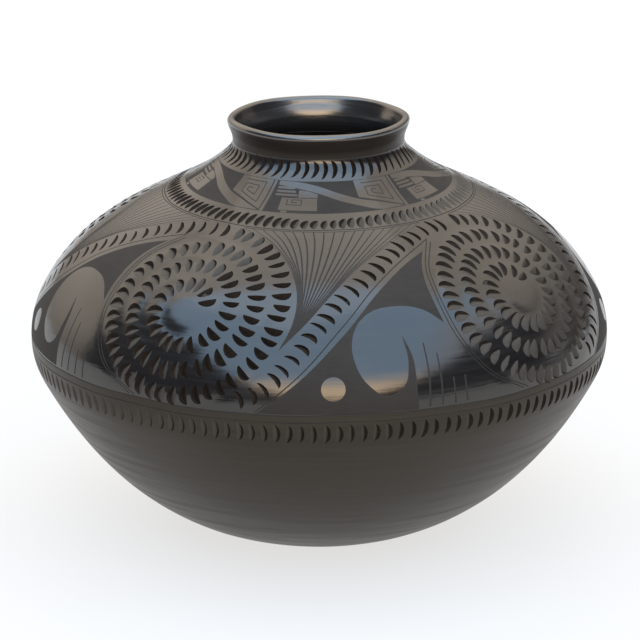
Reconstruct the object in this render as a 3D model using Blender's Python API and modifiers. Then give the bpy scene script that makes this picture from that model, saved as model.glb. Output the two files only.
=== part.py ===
"""A hand-built burnished blackware olla, modelled course by course as a potter raises it.

The pot stands on Z = 0 and its axis is Z. Its floor is a shallow dish, its wall is five
equal coils, and a neck coil and a lip coil close it. Each coil laps the one below on a
slanted joint, as wet clay is lapped before it is scraped smooth. The shoulder is carved with
four spirals of crescent cuts, and a row of cuts climbs from each to the next. Angles on the
wall are from the front (-Y) and rise to the right, and ways up it follow the outer line.
"""

from math import atan2, ceil, cos, hypot, pi, radians, sin

import bmesh
import bpy
from mathutils import Matrix, Vector
from mathutils.geometry import interpolate_bezier

# Driving sizes of the outline, in metres
FOOT_RADIUS = 0.041
BOWL_HEIGHT = 0.112
BELLY_RADIUS = 0.160
SHOULDER_RISE = 0.0804
FRIEZE_FOOT_RADIUS = 0.0854
FRIEZE_RISE = 0.0191
COLLAR_FOOT_RADIUS = 0.0545
NECK_RISE = 0.0105
WAIST_RADIUS = 0.0472
LIP_RISE = 0.0105
LIP_RADIUS = 0.050

# How far the tight turn of the belly reaches below and above the widest line, in metres
LOWER_TURN_DROP = 0.020
LOWER_TURN_INSET = 0.005
UPPER_TURN_RISE = 0.034
UPPER_TURN_INSET = 0.012

# Way that the outer wall runs, in degrees above the outward horizontal
FOOT_WAY = 8.7
LOWER_TURN_WAY = 62.0
UPRIGHT_WAY = 90.0
UPPER_TURN_WAY = 124.3
FRIEZE_WAY = 154.3
COLLAR_WAY = 138.9
LIP_WAY = 75.0

# Clay and joints, in metres
WALL = 0.0045
LAP = 0.006
JOINT_GAP = 0.0003
DISH_WIDTH = 0.036

# Spirals of cuts on the shoulder, in metres: each winds in clockwise from its top.
# They are round on the wall unrolled as a cone, whose apex lies this far up from their middles
MEDALLIONS = 4
MEDALLION_ANGLE = -31.0
MEDALLION_WAY_UP = 0.2276
MEDALLION_APEX = 0.160
SPIRAL_REACH = 0.0551
SPIRAL_PITCH = 0.01353
SPIRAL_TURNS = 3.2
CUT_STEP = 0.0072
INNER_CUT_STEP = 0.0063

# Row of cuts from a spiral to the top of the next: degrees from its start, and way up the wall
ROW_START = -30.5
ROW_CUT_STEP = 0.0073
ROW_PLACES = (
    (13.5, 0.1795),
    (19.0, 0.1865),
    (25.0, 0.2035),
    (31.5, 0.2260),
    (38.0, 0.2435),
    (45.3, 0.2565),
    (54.3, 0.2710),
    (61.5, 0.2775),
    (68.0, 0.2815),
    (80.5, 0.2830),
)

# The potter spaced the spirals by eye: closer in front, up to this angle, than behind
FRONT_SHARE = 0.9056
FRONT_EDGE = 90.0

# One crescent cut, in metres: half its width, its length and depth, and how its front narrows
CUT_HALF_WIDTH = 0.0046
CUT_LENGTH = 0.0036
CUT_DEPTH = 0.0019
CUT_FRONT_SHARE = 0.55
CUT_DEEPEST = 0.75
CUT_OVERRUN = 0.6

# Fineness of the turned shapes
SEGMENTS = 64
TURN_STEP = radians(9.0)
LONGEST_STEP = 0.012
CURVE_POINTS = 24
HANDLE_SHARE = 0.36
NOSE_POINTS = 6
SAME_POINT = 0.00001
ROW_POINTS = 6
SPIRAL_POINTS = 80

WALL_COILS = (
    "lower_bowl_coil",
    "upper_bowl_coil",
    "belly_coil",
    "lower_shoulder_coil",
    "upper_shoulder_coil",
)

COLOURS = {
    "unglazed_base": ((0.045, 0.038, 0.034), 0.55),
    "satin_black": ((0.026, 0.024, 0.024), 0.38),
    "burnished_black": ((0.014, 0.014, 0.016), 0.22),
}


class Outline:
    """The outer line of the wall, from the foot's edge to the lip, by distance along it."""

    def __init__(self):
        self.points = []
        knots = self.knots()
        for lower, upper in zip(knots, knots[1:]):
            self.points += self.curve(lower, upper)[bool(self.points):]
        self.lengths = [0.0]
        for here, there in zip(self.points, self.points[1:]):
            self.lengths.append(self.lengths[-1] + (there - here).length)
        self.length = self.lengths[-1]
        self.belly = self.where_height(BOWL_HEIGHT)

    @staticmethod
    def knots():
        """Radius, height and way of the wall at each knot, from foot to lip."""
        frieze_foot = BOWL_HEIGHT + SHOULDER_RISE
        collar_foot = frieze_foot + FRIEZE_RISE
        waist = collar_foot + NECK_RISE
        return (
            (FOOT_RADIUS, 0.0, FOOT_WAY),
            (BELLY_RADIUS - LOWER_TURN_INSET, BOWL_HEIGHT - LOWER_TURN_DROP, LOWER_TURN_WAY),
            (BELLY_RADIUS, BOWL_HEIGHT, UPRIGHT_WAY),
            (BELLY_RADIUS - UPPER_TURN_INSET, BOWL_HEIGHT + UPPER_TURN_RISE, UPPER_TURN_WAY),
            (FRIEZE_FOOT_RADIUS, frieze_foot, FRIEZE_WAY),
            (COLLAR_FOOT_RADIUS, collar_foot, COLLAR_WAY),
            (WAIST_RADIUS, waist, UPRIGHT_WAY),
            (LIP_RADIUS, waist + LIP_RISE, LIP_WAY),
        )

    @staticmethod
    def curve(lower, upper):
        """Points of the smooth curve between two knots."""
        start = Vector((lower[0], 0.0, lower[1]))
        end = Vector((upper[0], 0.0, upper[1]))
        reach = (end - start).length * HANDLE_SHARE
        leave = Vector((cos(radians(lower[2])), 0.0, sin(radians(lower[2]))))
        arrive = Vector((cos(radians(upper[2])), 0.0, sin(radians(upper[2]))))
        return interpolate_bezier(start, start + reach * leave, end - reach * arrive, end, CURVE_POINTS)

    def at(self, distance, depth=0.0):
        """The point this far along the outline and this deep in the wall."""
        index = 1
        while index < len(self.lengths) - 1 and self.lengths[index] < distance:
            index += 1
        start = self.points[index - 1]
        way = (self.points[index] - start).normalized()
        inward = Vector((-way.z, 0.0, way.x))
        return start + way * (distance - self.lengths[index - 1]) + inward * depth

    def way(self, distance):
        """The wall's way at this distance, in radians."""
        step = self.at(distance + SAME_POINT) - self.at(distance - SAME_POINT)
        return atan2(step.z, step.x)

    def where_height(self, height):
        """The distance along the outline at which it reaches this height."""
        low, high = 0.0, self.length
        while high - low > SAME_POINT:
            middle = (low + high) / 2
            if self.at(middle).z < height:
                low = middle
            else:
                high = middle
        return low

    def run(self, start, end, depth=0.0):
        """Points along the wall between two distances: closer where it turns, one on the belly."""
        if min(start, end) < self.belly < max(start, end):
            return self.stretch(start, self.belly, depth) + self.stretch(self.belly, end, depth)[1:]
        return self.stretch(start, end, depth)

    def stretch(self, start, end, depth):
        """Evenly spaced points along a stretch of the wall."""
        turn = abs(self.way(end) - self.way(start))
        count = max(2, ceil(turn / TURN_STEP), ceil(abs(end - start) / LONGEST_STEP))
        return [self.at(start + (end - start) * i / count, depth) for i in range(count + 1)]


def joint_slack():
    """How far a coil stops short of its seam, so that the lapped faces stand a gap apart."""
    return JOINT_GAP / 2 * hypot(WALL, LAP) / WALL


def dish_section(outline, seam):
    """Half section of the floor: a flat foot and a turned-up rim, cut for the first lap."""
    slack = joint_slack()
    inner = outline.run(SAME_POINT, seam - LAP - slack, WALL)
    outer = outline.run(seam - slack, SAME_POINT)
    return [Vector((0.0, 0.0, inner[0].z))] + inner + outer + [Vector((0.0, 0.0, 0.0))], False


def coil_section(outline, lower_seam, upper_seam):
    """Section of a coil between two slanted laps."""
    slack = joint_slack()
    outer = outline.run(upper_seam - slack, lower_seam + slack)
    inner = outline.run(lower_seam + slack - LAP, upper_seam - slack - LAP, WALL)
    return outer + inner, True


def lip_section(outline, lower_seam):
    """Section of the lip coil: it laps the neck below and is rolled round on top."""
    slack = joint_slack()
    end = outline.length
    middle = outline.at(end, WALL / 2)
    start = outline.way(end) - pi / 2
    nose = []
    for i in range(1, NOSE_POINTS):
        turn = start + pi * i / NOSE_POINTS
        nose.append(middle + Vector((cos(turn), 0.0, sin(turn))) * WALL / 2)
    outer = outline.run(end, lower_seam + slack)
    inner = outline.run(lower_seam + slack - LAP, end, WALL)
    return outer + inner + nose[::-1], True


def laid(angle):
    """Where the potter laid an evenly spaced angle, in degrees."""
    rest = (angle + 180.0) % 360.0 - 180.0
    edge = FRONT_EDGE / FRONT_SHARE
    if abs(rest) <= edge:
        return rest * FRONT_SHARE
    back_share = (180.0 - FRONT_EDGE) / (180.0 - edge)
    size = FRONT_EDGE + (abs(rest) - edge) * back_share
    return size if rest > 0.0 else -size


def repeated(angle, unit):
    """An angle measured by the first spiral, moved to another one's unit."""
    return radians(laid(angle / FRONT_SHARE + unit * 360.0 / MEDALLIONS))


def spiral_path(outline, unit):
    """Angle and way up the wall along one spiral, from its top inward."""
    middle = repeated(MEDALLION_ANGLE, unit)
    path = []
    for i in range(round(SPIRAL_TURNS * SPIRAL_POINTS) + 1):
        reach = SPIRAL_REACH - SPIRAL_PITCH * i / SPIRAL_POINTS
        way = pi / 2 - 2 * pi * i / SPIRAL_POINTS
        ahead = MEDALLION_APEX - reach * sin(way)
        side = reach * cos(way)
        from_apex = hypot(ahead, side)
        way_up = MEDALLION_WAY_UP + MEDALLION_APEX - from_apex
        path.append((middle + atan2(side, ahead) * from_apex / outline.at(way_up).x, way_up))
    return path


def row_path(unit):
    """Angle and way up the wall along the row of cuts that leaves one spiral."""
    path = []
    for start, end in zip(ROW_PLACES, ROW_PLACES[1:]):
        for i in range(ROW_POINTS):
            share = i / ROW_POINTS
            angle = start[0] + (end[0] - start[0]) * share
            path.append((repeated(ROW_START + angle, unit), start[1] + (end[1] - start[1]) * share))
    return path


def cuts_along(outline, path, step, last_step):
    """Angle, way up the wall and heading of each cut along a path, as the step changes evenly."""
    steps = []
    for here, there in zip(path, path[1:]):
        turn = (there[0] - here[0] + pi) % (2 * pi) - pi
        steps.append((turn, turn * outline.at(here[1]).x, there[1] - here[1]))
    whole = sum(hypot(across, up) for _, across, up in steps)
    cuts = []
    walked, target = 0.0, step / 2
    for here, (turn, across, up) in zip(path, steps):
        length = hypot(across, up)
        while walked + length > target:
            share = (target - walked) / length
            cuts.append((here[0] + turn * share, here[1] + up * share, atan2(up, across)))
            target += step + (last_step - step) * target / whole
        walked += length
    return cuts


def wall_frame(outline, angle, way_up, heading):
    """A frame on the wall's face: X along the heading, Z outward."""
    point = outline.at(way_up)
    way = outline.way(way_up)
    right = Vector((cos(angle), sin(angle), 0.0))
    up = Vector((sin(angle) * cos(way), -cos(angle) * cos(way), sin(way)))
    ahead = right * cos(heading) + up * sin(heading)
    side = up * cos(heading) - right * sin(heading)
    turn = Matrix((ahead, side, right.cross(up))).transposed().to_4x4()
    return Matrix.Translation((point.x * sin(angle), -point.x * cos(angle), point.z)) @ turn


def add_cutter(bm, frame):
    """Add one crescent cutter: a pyramid, straight behind and narrowed in front."""
    cone = bmesh.ops.create_cone(bm, cap_ends=True, segments=4, radius1=0.0, radius2=1.0, depth=1.0)
    deepest = Vector((CUT_LENGTH * CUT_DEEPEST, 0.0, -CUT_DEPTH))
    turned = Matrix.Rotation(pi / 4, 4, "Z")
    for vert in cone["verts"]:
        corner = turned @ vert.co
        if corner.z < 0.0:
            vert.co = frame @ deepest
            continue
        width = CUT_HALF_WIDTH * (CUT_FRONT_SHARE if corner.x > 0.0 else 1.0)
        rim = Vector((CUT_LENGTH if corner.x > 0.0 else 0.0, width if corner.y > 0.0 else -width, 0.0))
        vert.co = frame @ (rim + (rim - deepest) * CUT_OVERRUN)


def carve(coil, cuts, outline, cutters):
    """Cut the crescents that reach this coil out of it."""
    bm = bmesh.new()
    for cut in cuts:
        add_cutter(bm, wall_frame(outline, *cut))
    bmesh.ops.remove_doubles(bm, verts=bm.verts, dist=SAME_POINT)
    bmesh.ops.recalc_face_normals(bm, faces=bm.faces)
    mesh = bpy.data.meshes.new(coil.name + "_cuts")
    bm.to_mesh(mesh)
    bm.free()
    cutter = bpy.data.objects.new(coil.name + "_cuts", mesh)
    cutter.hide_render = True
    cutter.display_type = "WIRE"
    cutters.objects.link(cutter)
    boolean = coil.modifiers.new("Carved", "BOOLEAN")
    boolean.object = cutter
    boolean.operation = "DIFFERENCE"
    boolean.solver = "EXACT"
    boolean.use_self = True


def clay(name):
    """A fired clay finish: colour and roughness."""
    colour, roughness = COLOURS[name]
    material = bpy.data.materials.new(name)
    material.use_nodes = True
    shader = material.node_tree.nodes["Principled BSDF"]
    shader.inputs["Base Color"].default_value = (*colour, 1.0)
    shader.inputs["Roughness"].default_value = roughness
    shader.inputs["Metallic"].default_value = 0.0
    return material


def turned_piece(name, section, material, collection, pot):
    """A section turned about the pot's axis, as its own object under the pot."""
    points, closed = section
    bed = min(point.z for point in points)
    mesh = bpy.data.meshes.new(name)
    edges = [(i, i + 1) for i in range(len(points) - 1)]
    if closed:
        edges.append((len(points) - 1, 0))
    mesh.from_pydata([point - Vector((0.0, 0.0, bed)) for point in points], edges, [])
    mesh.materials.append(material)
    piece = bpy.data.objects.new(name, mesh)
    collection.objects.link(piece)
    piece.parent = pot
    piece.location = (0.0, 0.0, bed)
    screw = piece.modifiers.new("Turned", "SCREW")
    screw.axis = "Z"
    screw.angle = 2 * pi
    screw.steps = SEGMENTS
    screw.render_steps = SEGMENTS
    screw.use_merge_vertices = True
    screw.merge_threshold = SAME_POINT
    screw.use_smooth_shade = True
    return piece


def build():
    """Raise the pot from its dish to its lip."""
    for thing in list(bpy.data.objects):
        bpy.data.objects.remove(thing)
    collection = bpy.data.collections.new("olla")
    bpy.context.scene.collection.children.link(collection)
    pot = bpy.data.objects.new("olla_axis", None)
    collection.objects.link(pot)

    base = clay("unglazed_base")
    satin = clay("satin_black")
    burnished = clay("burnished_black")

    outline = Outline()
    frieze_foot = outline.where_height(BOWL_HEIGHT + SHOULDER_RISE)
    waist = outline.where_height(BOWL_HEIGHT + SHOULDER_RISE + FRIEZE_RISE + NECK_RISE)
    coil = (frieze_foot - DISH_WIDTH) / len(WALL_COILS)
    cutters = bpy.data.collections.new("cutters")
    bpy.context.scene.collection.children.link(cutters)
    cuts = []
    for unit in range(MEDALLIONS):
        cuts += cuts_along(outline, spiral_path(outline, unit), CUT_STEP, INNER_CUT_STEP)
        cuts += cuts_along(outline, row_path(unit), ROW_CUT_STEP, ROW_CUT_STEP)

    turned_piece("base_dish", dish_section(outline, DISH_WIDTH), base, collection, pot)
    for i, name in enumerate(WALL_COILS):
        lower = DISH_WIDTH + coil * i
        material = satin if lower + coil / 2 < outline.belly else burnished
        section = coil_section(outline, lower, lower + coil)
        piece = turned_piece(name, section, material, collection, pot)
        reached = [cut for cut in cuts if lower - LAP < cut[1] < lower + coil + LAP]
        if reached:
            carve(piece, reached, outline, cutters)
    turned_piece("neck_coil", coil_section(outline, frieze_foot, waist), burnished, collection, pot)
    turned_piece("lip_coil", lip_section(outline, waist), burnished, collection, pot)


build()
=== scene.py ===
"""Looks of a hand-built blackware olla, burnished, gouged and slip-painted, on a studio floor.

The pot stands on Z = 0 about the Z axis. A place on its wall is an angle, in degrees from the
front (-Y) and rising to the right, and a distance in millimetres along the outer line of the
wall from the edge of the foot. The ornament is drawn on a flat plan of the wall that keeps
angles true, the plan is cut into triangles once, and each coil takes its own stretch of it.
"""

import logging
import random
from dataclasses import dataclass, field, replace
from enum import Enum
from math import atan2, ceil, cos, degrees, exp, hypot, inf, pi, radians, sin, sqrt

import bmesh
import bpy
import numpy as np
from mathutils import Matrix, Vector
from mathutils.geometry import delaunay_2d_cdt, interpolate_bezier
from mathutils.kdtree import KDTree


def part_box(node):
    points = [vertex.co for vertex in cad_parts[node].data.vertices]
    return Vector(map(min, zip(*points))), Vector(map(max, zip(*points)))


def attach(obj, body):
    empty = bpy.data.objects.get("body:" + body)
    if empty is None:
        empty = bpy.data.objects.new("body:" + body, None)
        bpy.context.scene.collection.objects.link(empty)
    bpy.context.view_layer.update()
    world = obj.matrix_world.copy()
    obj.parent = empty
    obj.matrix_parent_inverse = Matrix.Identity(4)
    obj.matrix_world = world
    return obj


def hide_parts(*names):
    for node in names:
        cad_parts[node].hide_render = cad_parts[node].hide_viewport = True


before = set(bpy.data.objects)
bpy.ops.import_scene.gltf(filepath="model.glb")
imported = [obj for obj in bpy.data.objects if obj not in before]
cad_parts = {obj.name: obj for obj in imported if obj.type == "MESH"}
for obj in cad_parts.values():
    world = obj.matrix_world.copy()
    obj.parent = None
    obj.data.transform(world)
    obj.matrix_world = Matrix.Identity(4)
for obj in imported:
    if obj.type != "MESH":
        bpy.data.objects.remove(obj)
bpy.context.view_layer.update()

LOG = logging.getLogger("olla")
MM = 0.001
FULL_TURN = 2.0 * pi
UPRIGHT = 90.0

# A length that counts as none, and a depth in millimetres that counts as on the surface.
TINY = 1e-6
NEAR = 1e-3

Place = tuple[float, float]
Span = tuple[float, float]
Colour = tuple[float, float, float]
Triple = tuple[float, float, float]


class Ground(Enum):
    """What the clay's surface is at a place, in the order of a piece's material slots."""

    SATIN = 0
    POLISHED = 1
    SLIP = 2
    CUT = 3
    GROOVE = 4
    INSIDE = 5
    RAW = 6
    # The steep wall of a cut, and whole cuts dug in deep: matte torn clay, its colour darkened with painted
    # shade.
    STEEP = 7
    NECK = 8


FLUSH = (Ground.SATIN, Ground.POLISHED, Ground.SLIP, Ground.NECK)


@dataclass(frozen=True)
class Bands:
    """Distances along the wall, in millimetres, of the bands that run all round."""

    lower_notches: Span = (158.5, 169.0)
    groove_low: float = 170.5
    groove_high: float = 174.5
    panel_low: float = 175.0
    fan_top: float = 287.9
    field_groove: float = 288.95
    shoulder_notches: Span = (289.7, 299.3)
    frieze_low: float = 302.0
    frieze_high: float = 324.5
    collar_notches: Span = (326.3, 337.0)
    neck_low: float = 337.4


BANDS = Bands()


@dataclass
class Outline:
    """Outer line of the wall from the edge of the foot to the lip.

    Sizes are in millimetres. A way is the line's heading at a knot, in degrees up from level. The
    line is sampled once: the distance, radius, height, way and rise on the plan of each spot.
    """

    foot_radius: float = 41.0
    foot_way: float = 8.7
    bowl_height: float = 112.0
    bowl_knot_in: float = 5.0
    bowl_knot_down: float = 20.0
    bowl_way: float = 62.0
    belly_radius: float = 160.0
    shoulder_knot_in: float = 12.0
    shoulder_knot_up: float = 34.0
    shoulder_way: float = 124.3
    shoulder_rise: float = 80.4
    frieze_foot_radius: float = 85.4
    frieze_foot_way: float = 154.3
    frieze_rise: float = 19.1
    collar_foot_radius: float = 54.5
    collar_foot_way: float = 138.9
    neck_rise: float = 10.5
    waist_radius: float = 47.2
    lip_rise: float = 10.5
    lip_radius: float = 50.0
    lip_way: float = 75.0
    dish_width: float = 36.0
    handle_share: float = 0.36
    fineness: int = 400
    wall_coils: tuple[str, ...] = (
        "lower_bowl_coil", "upper_bowl_coil", "belly_coil", "lower_shoulder_coil", "upper_shoulder_coil",
    )
    spots: np.ndarray = field(init=False)
    radii: np.ndarray = field(init=False)
    heights: np.ndarray = field(init=False)
    ways: np.ndarray = field(init=False)
    rises: np.ndarray = field(init=False)

    def __post_init__(self) -> None:
        """Sample the line."""
        knots = self.knots()
        points = [Vector((self.foot_radius, 0.0))]
        for lower, upper in zip(knots, knots[1:]):
            points += self.stretch(lower, upper)[1:]
        line = np.array([(point.x, point.y) for point in points])
        steps = np.hypot(*np.diff(line, axis=0).T)
        self.spots = np.concatenate([[0.0], np.cumsum(steps)])
        self.radii, self.heights = line.T
        self.ways = np.gradient(line, self.spots, axis=0).T
        middles = (self.radii[1:] + self.radii[:-1]) / 2
        self.rises = np.concatenate([[0.0], np.cumsum(steps / middles)])

    def knots(self) -> tuple[Triple, ...]:
        """The places that the line passes through.

        Returns:
            Radius, height and way of each knot, from foot to lip.
        """
        frieze_foot = self.bowl_height + self.shoulder_rise
        collar_foot = frieze_foot + self.frieze_rise
        waist = collar_foot + self.neck_rise
        bowl = (self.belly_radius - self.bowl_knot_in, self.bowl_height - self.bowl_knot_down)
        shoulder = (self.belly_radius - self.shoulder_knot_in, self.bowl_height + self.shoulder_knot_up)
        return (
            (self.foot_radius, 0.0, self.foot_way),
            (*bowl, self.bowl_way),
            (self.belly_radius, self.bowl_height, UPRIGHT),
            (*shoulder, self.shoulder_way),
            (self.frieze_foot_radius, frieze_foot, self.frieze_foot_way),
            (self.collar_foot_radius, collar_foot, self.collar_foot_way),
            (self.waist_radius, waist, UPRIGHT),
            (self.lip_radius, waist + self.lip_rise, self.lip_way),
        )

    def stretch(self, lower: Triple, upper: Triple) -> list[Vector]:
        """The smooth curve between two knots.

        Args:
            lower: Knot at its start.
            upper: Knot at its end.

        Returns:
            Points of the curve, both knots among them.
        """
        start, end = Vector(lower[:2]), Vector(upper[:2])
        reach = (end - start).length * self.handle_share
        leave, arrive = (Vector((cos(radians(knot[2])), sin(radians(knot[2])))) for knot in (lower, upper))
        return interpolate_bezier(start, start + reach * leave, end - reach * arrive, end, self.fineness)

    @property
    def length(self) -> float:
        """Length of the line up the wall."""
        return float(self.spots[-1])

    def radius(self, along: float | np.ndarray) -> float | np.ndarray:
        """Radius of the wall at a distance along it."""
        return np.interp(along, self.spots, self.radii)

    def rise(self, along: float | np.ndarray) -> float | np.ndarray:
        """Height on the plan of a distance along the wall."""
        return np.interp(along, self.spots, self.rises)

    def along(self, rise: float | np.ndarray) -> float | np.ndarray:
        """Distance along the wall of a height on the plan."""
        return np.interp(rise, self.rises, self.spots)

    def where_height(self, height: float) -> float:
        """Distance along the wall at which it reaches a height."""
        return float(np.interp(height, self.heights, self.spots))

    def section(self, along: np.ndarray, depth: np.ndarray) -> tuple[np.ndarray, np.ndarray]:
        """Radius and height of points in the wall.

        Args:
            along: Distances along the wall, which may run on past the lip.
            depth: Depths in the clay below the outer line.

        Returns:
            The radii and the heights.
        """
        past = np.maximum(along - self.length, 0.0)
        columns = (self.radii, self.heights, *self.ways)
        radius, height, out, up = (np.interp(along, self.spots, column) for column in columns)
        size = np.hypot(out, up)
        out, up = out / size, up / size
        return radius + out * past - up * depth, height + up * past + out * depth

    def seams(self) -> dict[str, tuple[float, float]]:
        """Where one piece ends and the next begins.

        Returns:
            Lower and upper seam of each piece along the wall, by the name of its node.
        """
        frieze_foot = self.where_height(self.bowl_height + self.shoulder_rise)
        waist = self.where_height(self.bowl_height + self.shoulder_rise + self.frieze_rise + self.neck_rise)
        coil = (frieze_foot - self.dish_width) / len(self.wall_coils)
        found = {"base_dish": (0.0, self.dish_width)}
        for i, name in enumerate(self.wall_coils):
            found[name] = (self.dish_width + coil * i, self.dish_width + coil * (i + 1))
        found["neck_coil"] = (frieze_foot, waist)
        found["lip_coil"] = (waist, self.length)
        return found


def eased(value: float | np.ndarray, start: float, end: float) -> float | np.ndarray:
    """A smooth step from 0 at start to 1 at end."""
    share = np.clip((value - start) / (end - start), 0.0, 1.0)
    return share * share * (3.0 - 2.0 * share)


@dataclass(frozen=True)
class Chart:
    """The wall round a medallion unrolled as a cone, which keeps its circles round."""

    outline: Outline
    angle: float
    along: float = 227.6
    apex: float = 160.0
    reach: float = 55.1
    pitch: float = 13.53
    edge: Span = (50.0, 60.0)
    boss: Span = (6.0, 16.0)
    widest_swing: float = 0.6

    def place(self, reach: float, way: float) -> Place:
        """Where a point of the medallion lies on the wall.

        Args:
            reach: Distance from its middle in millimetres.
            way: Direction from its middle in radians, 0 to the right.

        Returns:
            Angle and distance along the wall.
        """
        ahead, side = self.apex - reach * sin(way), reach * cos(way)
        length = hypot(ahead, side)
        along = self.along + self.apex - length
        return self.angle + degrees(atan2(side, ahead)) * length / float(self.outline.radius(along)), along

    def rings(self, turn: np.ndarray, along: np.ndarray) -> np.ndarray:
        """How far points lie from the line of the spiral.

        Args:
            turn: Angles about the axis in radians.
            along: Distances along the wall.

        Returns:
            0 on the line and off the medallion, and 1 midway between two turns.
        """
        length = self.apex + self.along - along
        away = (turn - radians(self.angle) + pi) % FULL_TURN - pi
        swing = away * self.outline.radius(along) / length
        side, up = length * np.sin(swing), self.apex - length * np.cos(swing)
        reach = np.hypot(side, up)
        turned = (pi / 2 - np.arctan2(up, side)) % FULL_TURN
        phase = (reach - self.reach) / self.pitch + turned / FULL_TURN
        inside = (1.0 - eased(reach, *self.edge)) * eased(reach, *self.boss)
        return (0.5 - 0.5 * np.cos(FULL_TURN * phase)) * inside * (np.abs(swing) < self.widest_swing)


@dataclass
class Wall:
    """The clay wall as the hand left it: its outline, thickness, small swells and leaning lip.

    Each swell is a height, how often it comes round, its start in radians and the distance along
    the wall in which it turns a radian. Each waver of the lip is how often it comes and its start.
    """

    outline: Outline
    charts: list[Chart]
    ring_valley: float = 0.3
    thickness: float = 4.5
    lap: float = 6.0
    joint_gap: float = 0.3
    mean_swell: float = 0.18
    swells: tuple[tuple[float, int, float, float], ...] = (
        (0.07, 2, 0.6, inf), (0.05, 5, 1.9, 38.0), (0.035, 9, 0.0, -23.0), (0.02, 14, 0.0, 9.0),
    )
    swell_low: Span = (4.0, 30.0)
    swell_high: Span = (328.0, 346.0)
    lean: float = 0.016
    leaning: Span = (205.0, 232.5)
    lip_wave: float = 0.25
    lip_wavers: tuple[tuple[int, float], ...] = ((3, 1.1), (5, 4.0))
    waving: Span = (222.0, 234.0)
    normal_step: float = 0.4

    def swell(self, turn: np.ndarray, along: np.ndarray) -> np.ndarray:
        """How far the hand-scraped surface lies inside the true outline.

        Args:
            turn: Angles about the axis in radians.
            along: Distances along the wall.

        Returns:
            Depths in millimetres.
        """
        amount = self.mean_swell
        for height, count, start, length in self.swells:
            amount = amount + height * np.sin(count * turn + start + along / length)
        for chart in self.charts:
            amount = amount + self.ring_valley * chart.rings(turn, along)
        return amount * eased(along, *self.swell_low) * (1.0 - eased(along, *self.swell_high))

    def points(self, turn: np.ndarray, along: np.ndarray, depth: np.ndarray) -> np.ndarray:
        """Points of the wall in metres.

        Args:
            turn: Angles about the axis in radians, 0 in front.
            along: Distances along the outer line in millimetres.
            depth: Depths in the clay in millimetres.

        Returns:
            An array of one row for each point.
        """
        turn, along, depth = (np.asarray(values, float) for values in (turn, along, depth))
        radius, height = self.outline.section(along, depth + self.swell(turn, along))
        x, y = radius * np.sin(turn), -radius * np.cos(turn)
        waver = sum((np.sin(count * turn + start) for count, start in self.lip_wavers), 2.0)
        wave = self.lip_wave * waver * eased(height, *self.waving)
        lean = eased(height, *self.leaning) * self.lean * (y + self.outline.lip_radius)
        return np.column_stack([x, y, height - lean - wave]) * MM

    def normals(self, turn: np.ndarray, along: np.ndarray) -> np.ndarray:
        """Outward directions of the outer surface.

        Args:
            turn: Angles about the axis in radians.
            along: Distances along the wall.

        Returns:
            An array of one row for each point.
        """
        turn, along = np.asarray(turn, float), np.asarray(along, float)
        step = self.normal_step
        aside = step / np.maximum(self.outline.radius(along), 1.0)
        none = np.zeros_like(turn)
        right = self.points(turn + aside, along, none) - self.points(turn - aside, along, none)
        up = self.points(turn, along + step, none) - self.points(turn, along - step, none)
        out = np.cross(right, up)
        return out / np.linalg.norm(out, axis=1, keepdims=True)


@dataclass(frozen=True)
class Repeat:
    """A motif repeated round the pot by eye: at one spacing in front and at another behind."""

    count: int
    front_pitch: float
    side: float = 90.0

    @property
    def knots(self) -> tuple[list[float], list[float]]:
        """Evenly spaced angles, and the angles at which they are laid, where the spacing changes."""
        edge = self.side / (self.front_pitch * self.count / 360.0)
        return [-180.0, -edge, edge, 180.0], [-180.0, -self.side, self.side, 180.0]

    @staticmethod
    def stretched(angle: float, old: list[float], new: list[float]) -> float:
        """An angle of any number of turns, moved as its knots are moved from old to new."""
        turns = round(angle / 360.0)
        return 360.0 * turns + float(np.interp(angle - 360.0 * turns, old, new))

    def moved(self, angle: float, unit: int) -> float:
        """Angle in one unit of a place measured in the first."""
        even, laid = self.knots
        return self.stretched(self.stretched(angle, laid, even) + 360.0 / self.count * unit, even, laid)


# How much each size of a cut changes, as a share of it, where the tool digs in fully.
DUG_CHANGES = {"front": -0.12, "back": -0.85, "depth": 0.33, "wall": -0.3}


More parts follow.
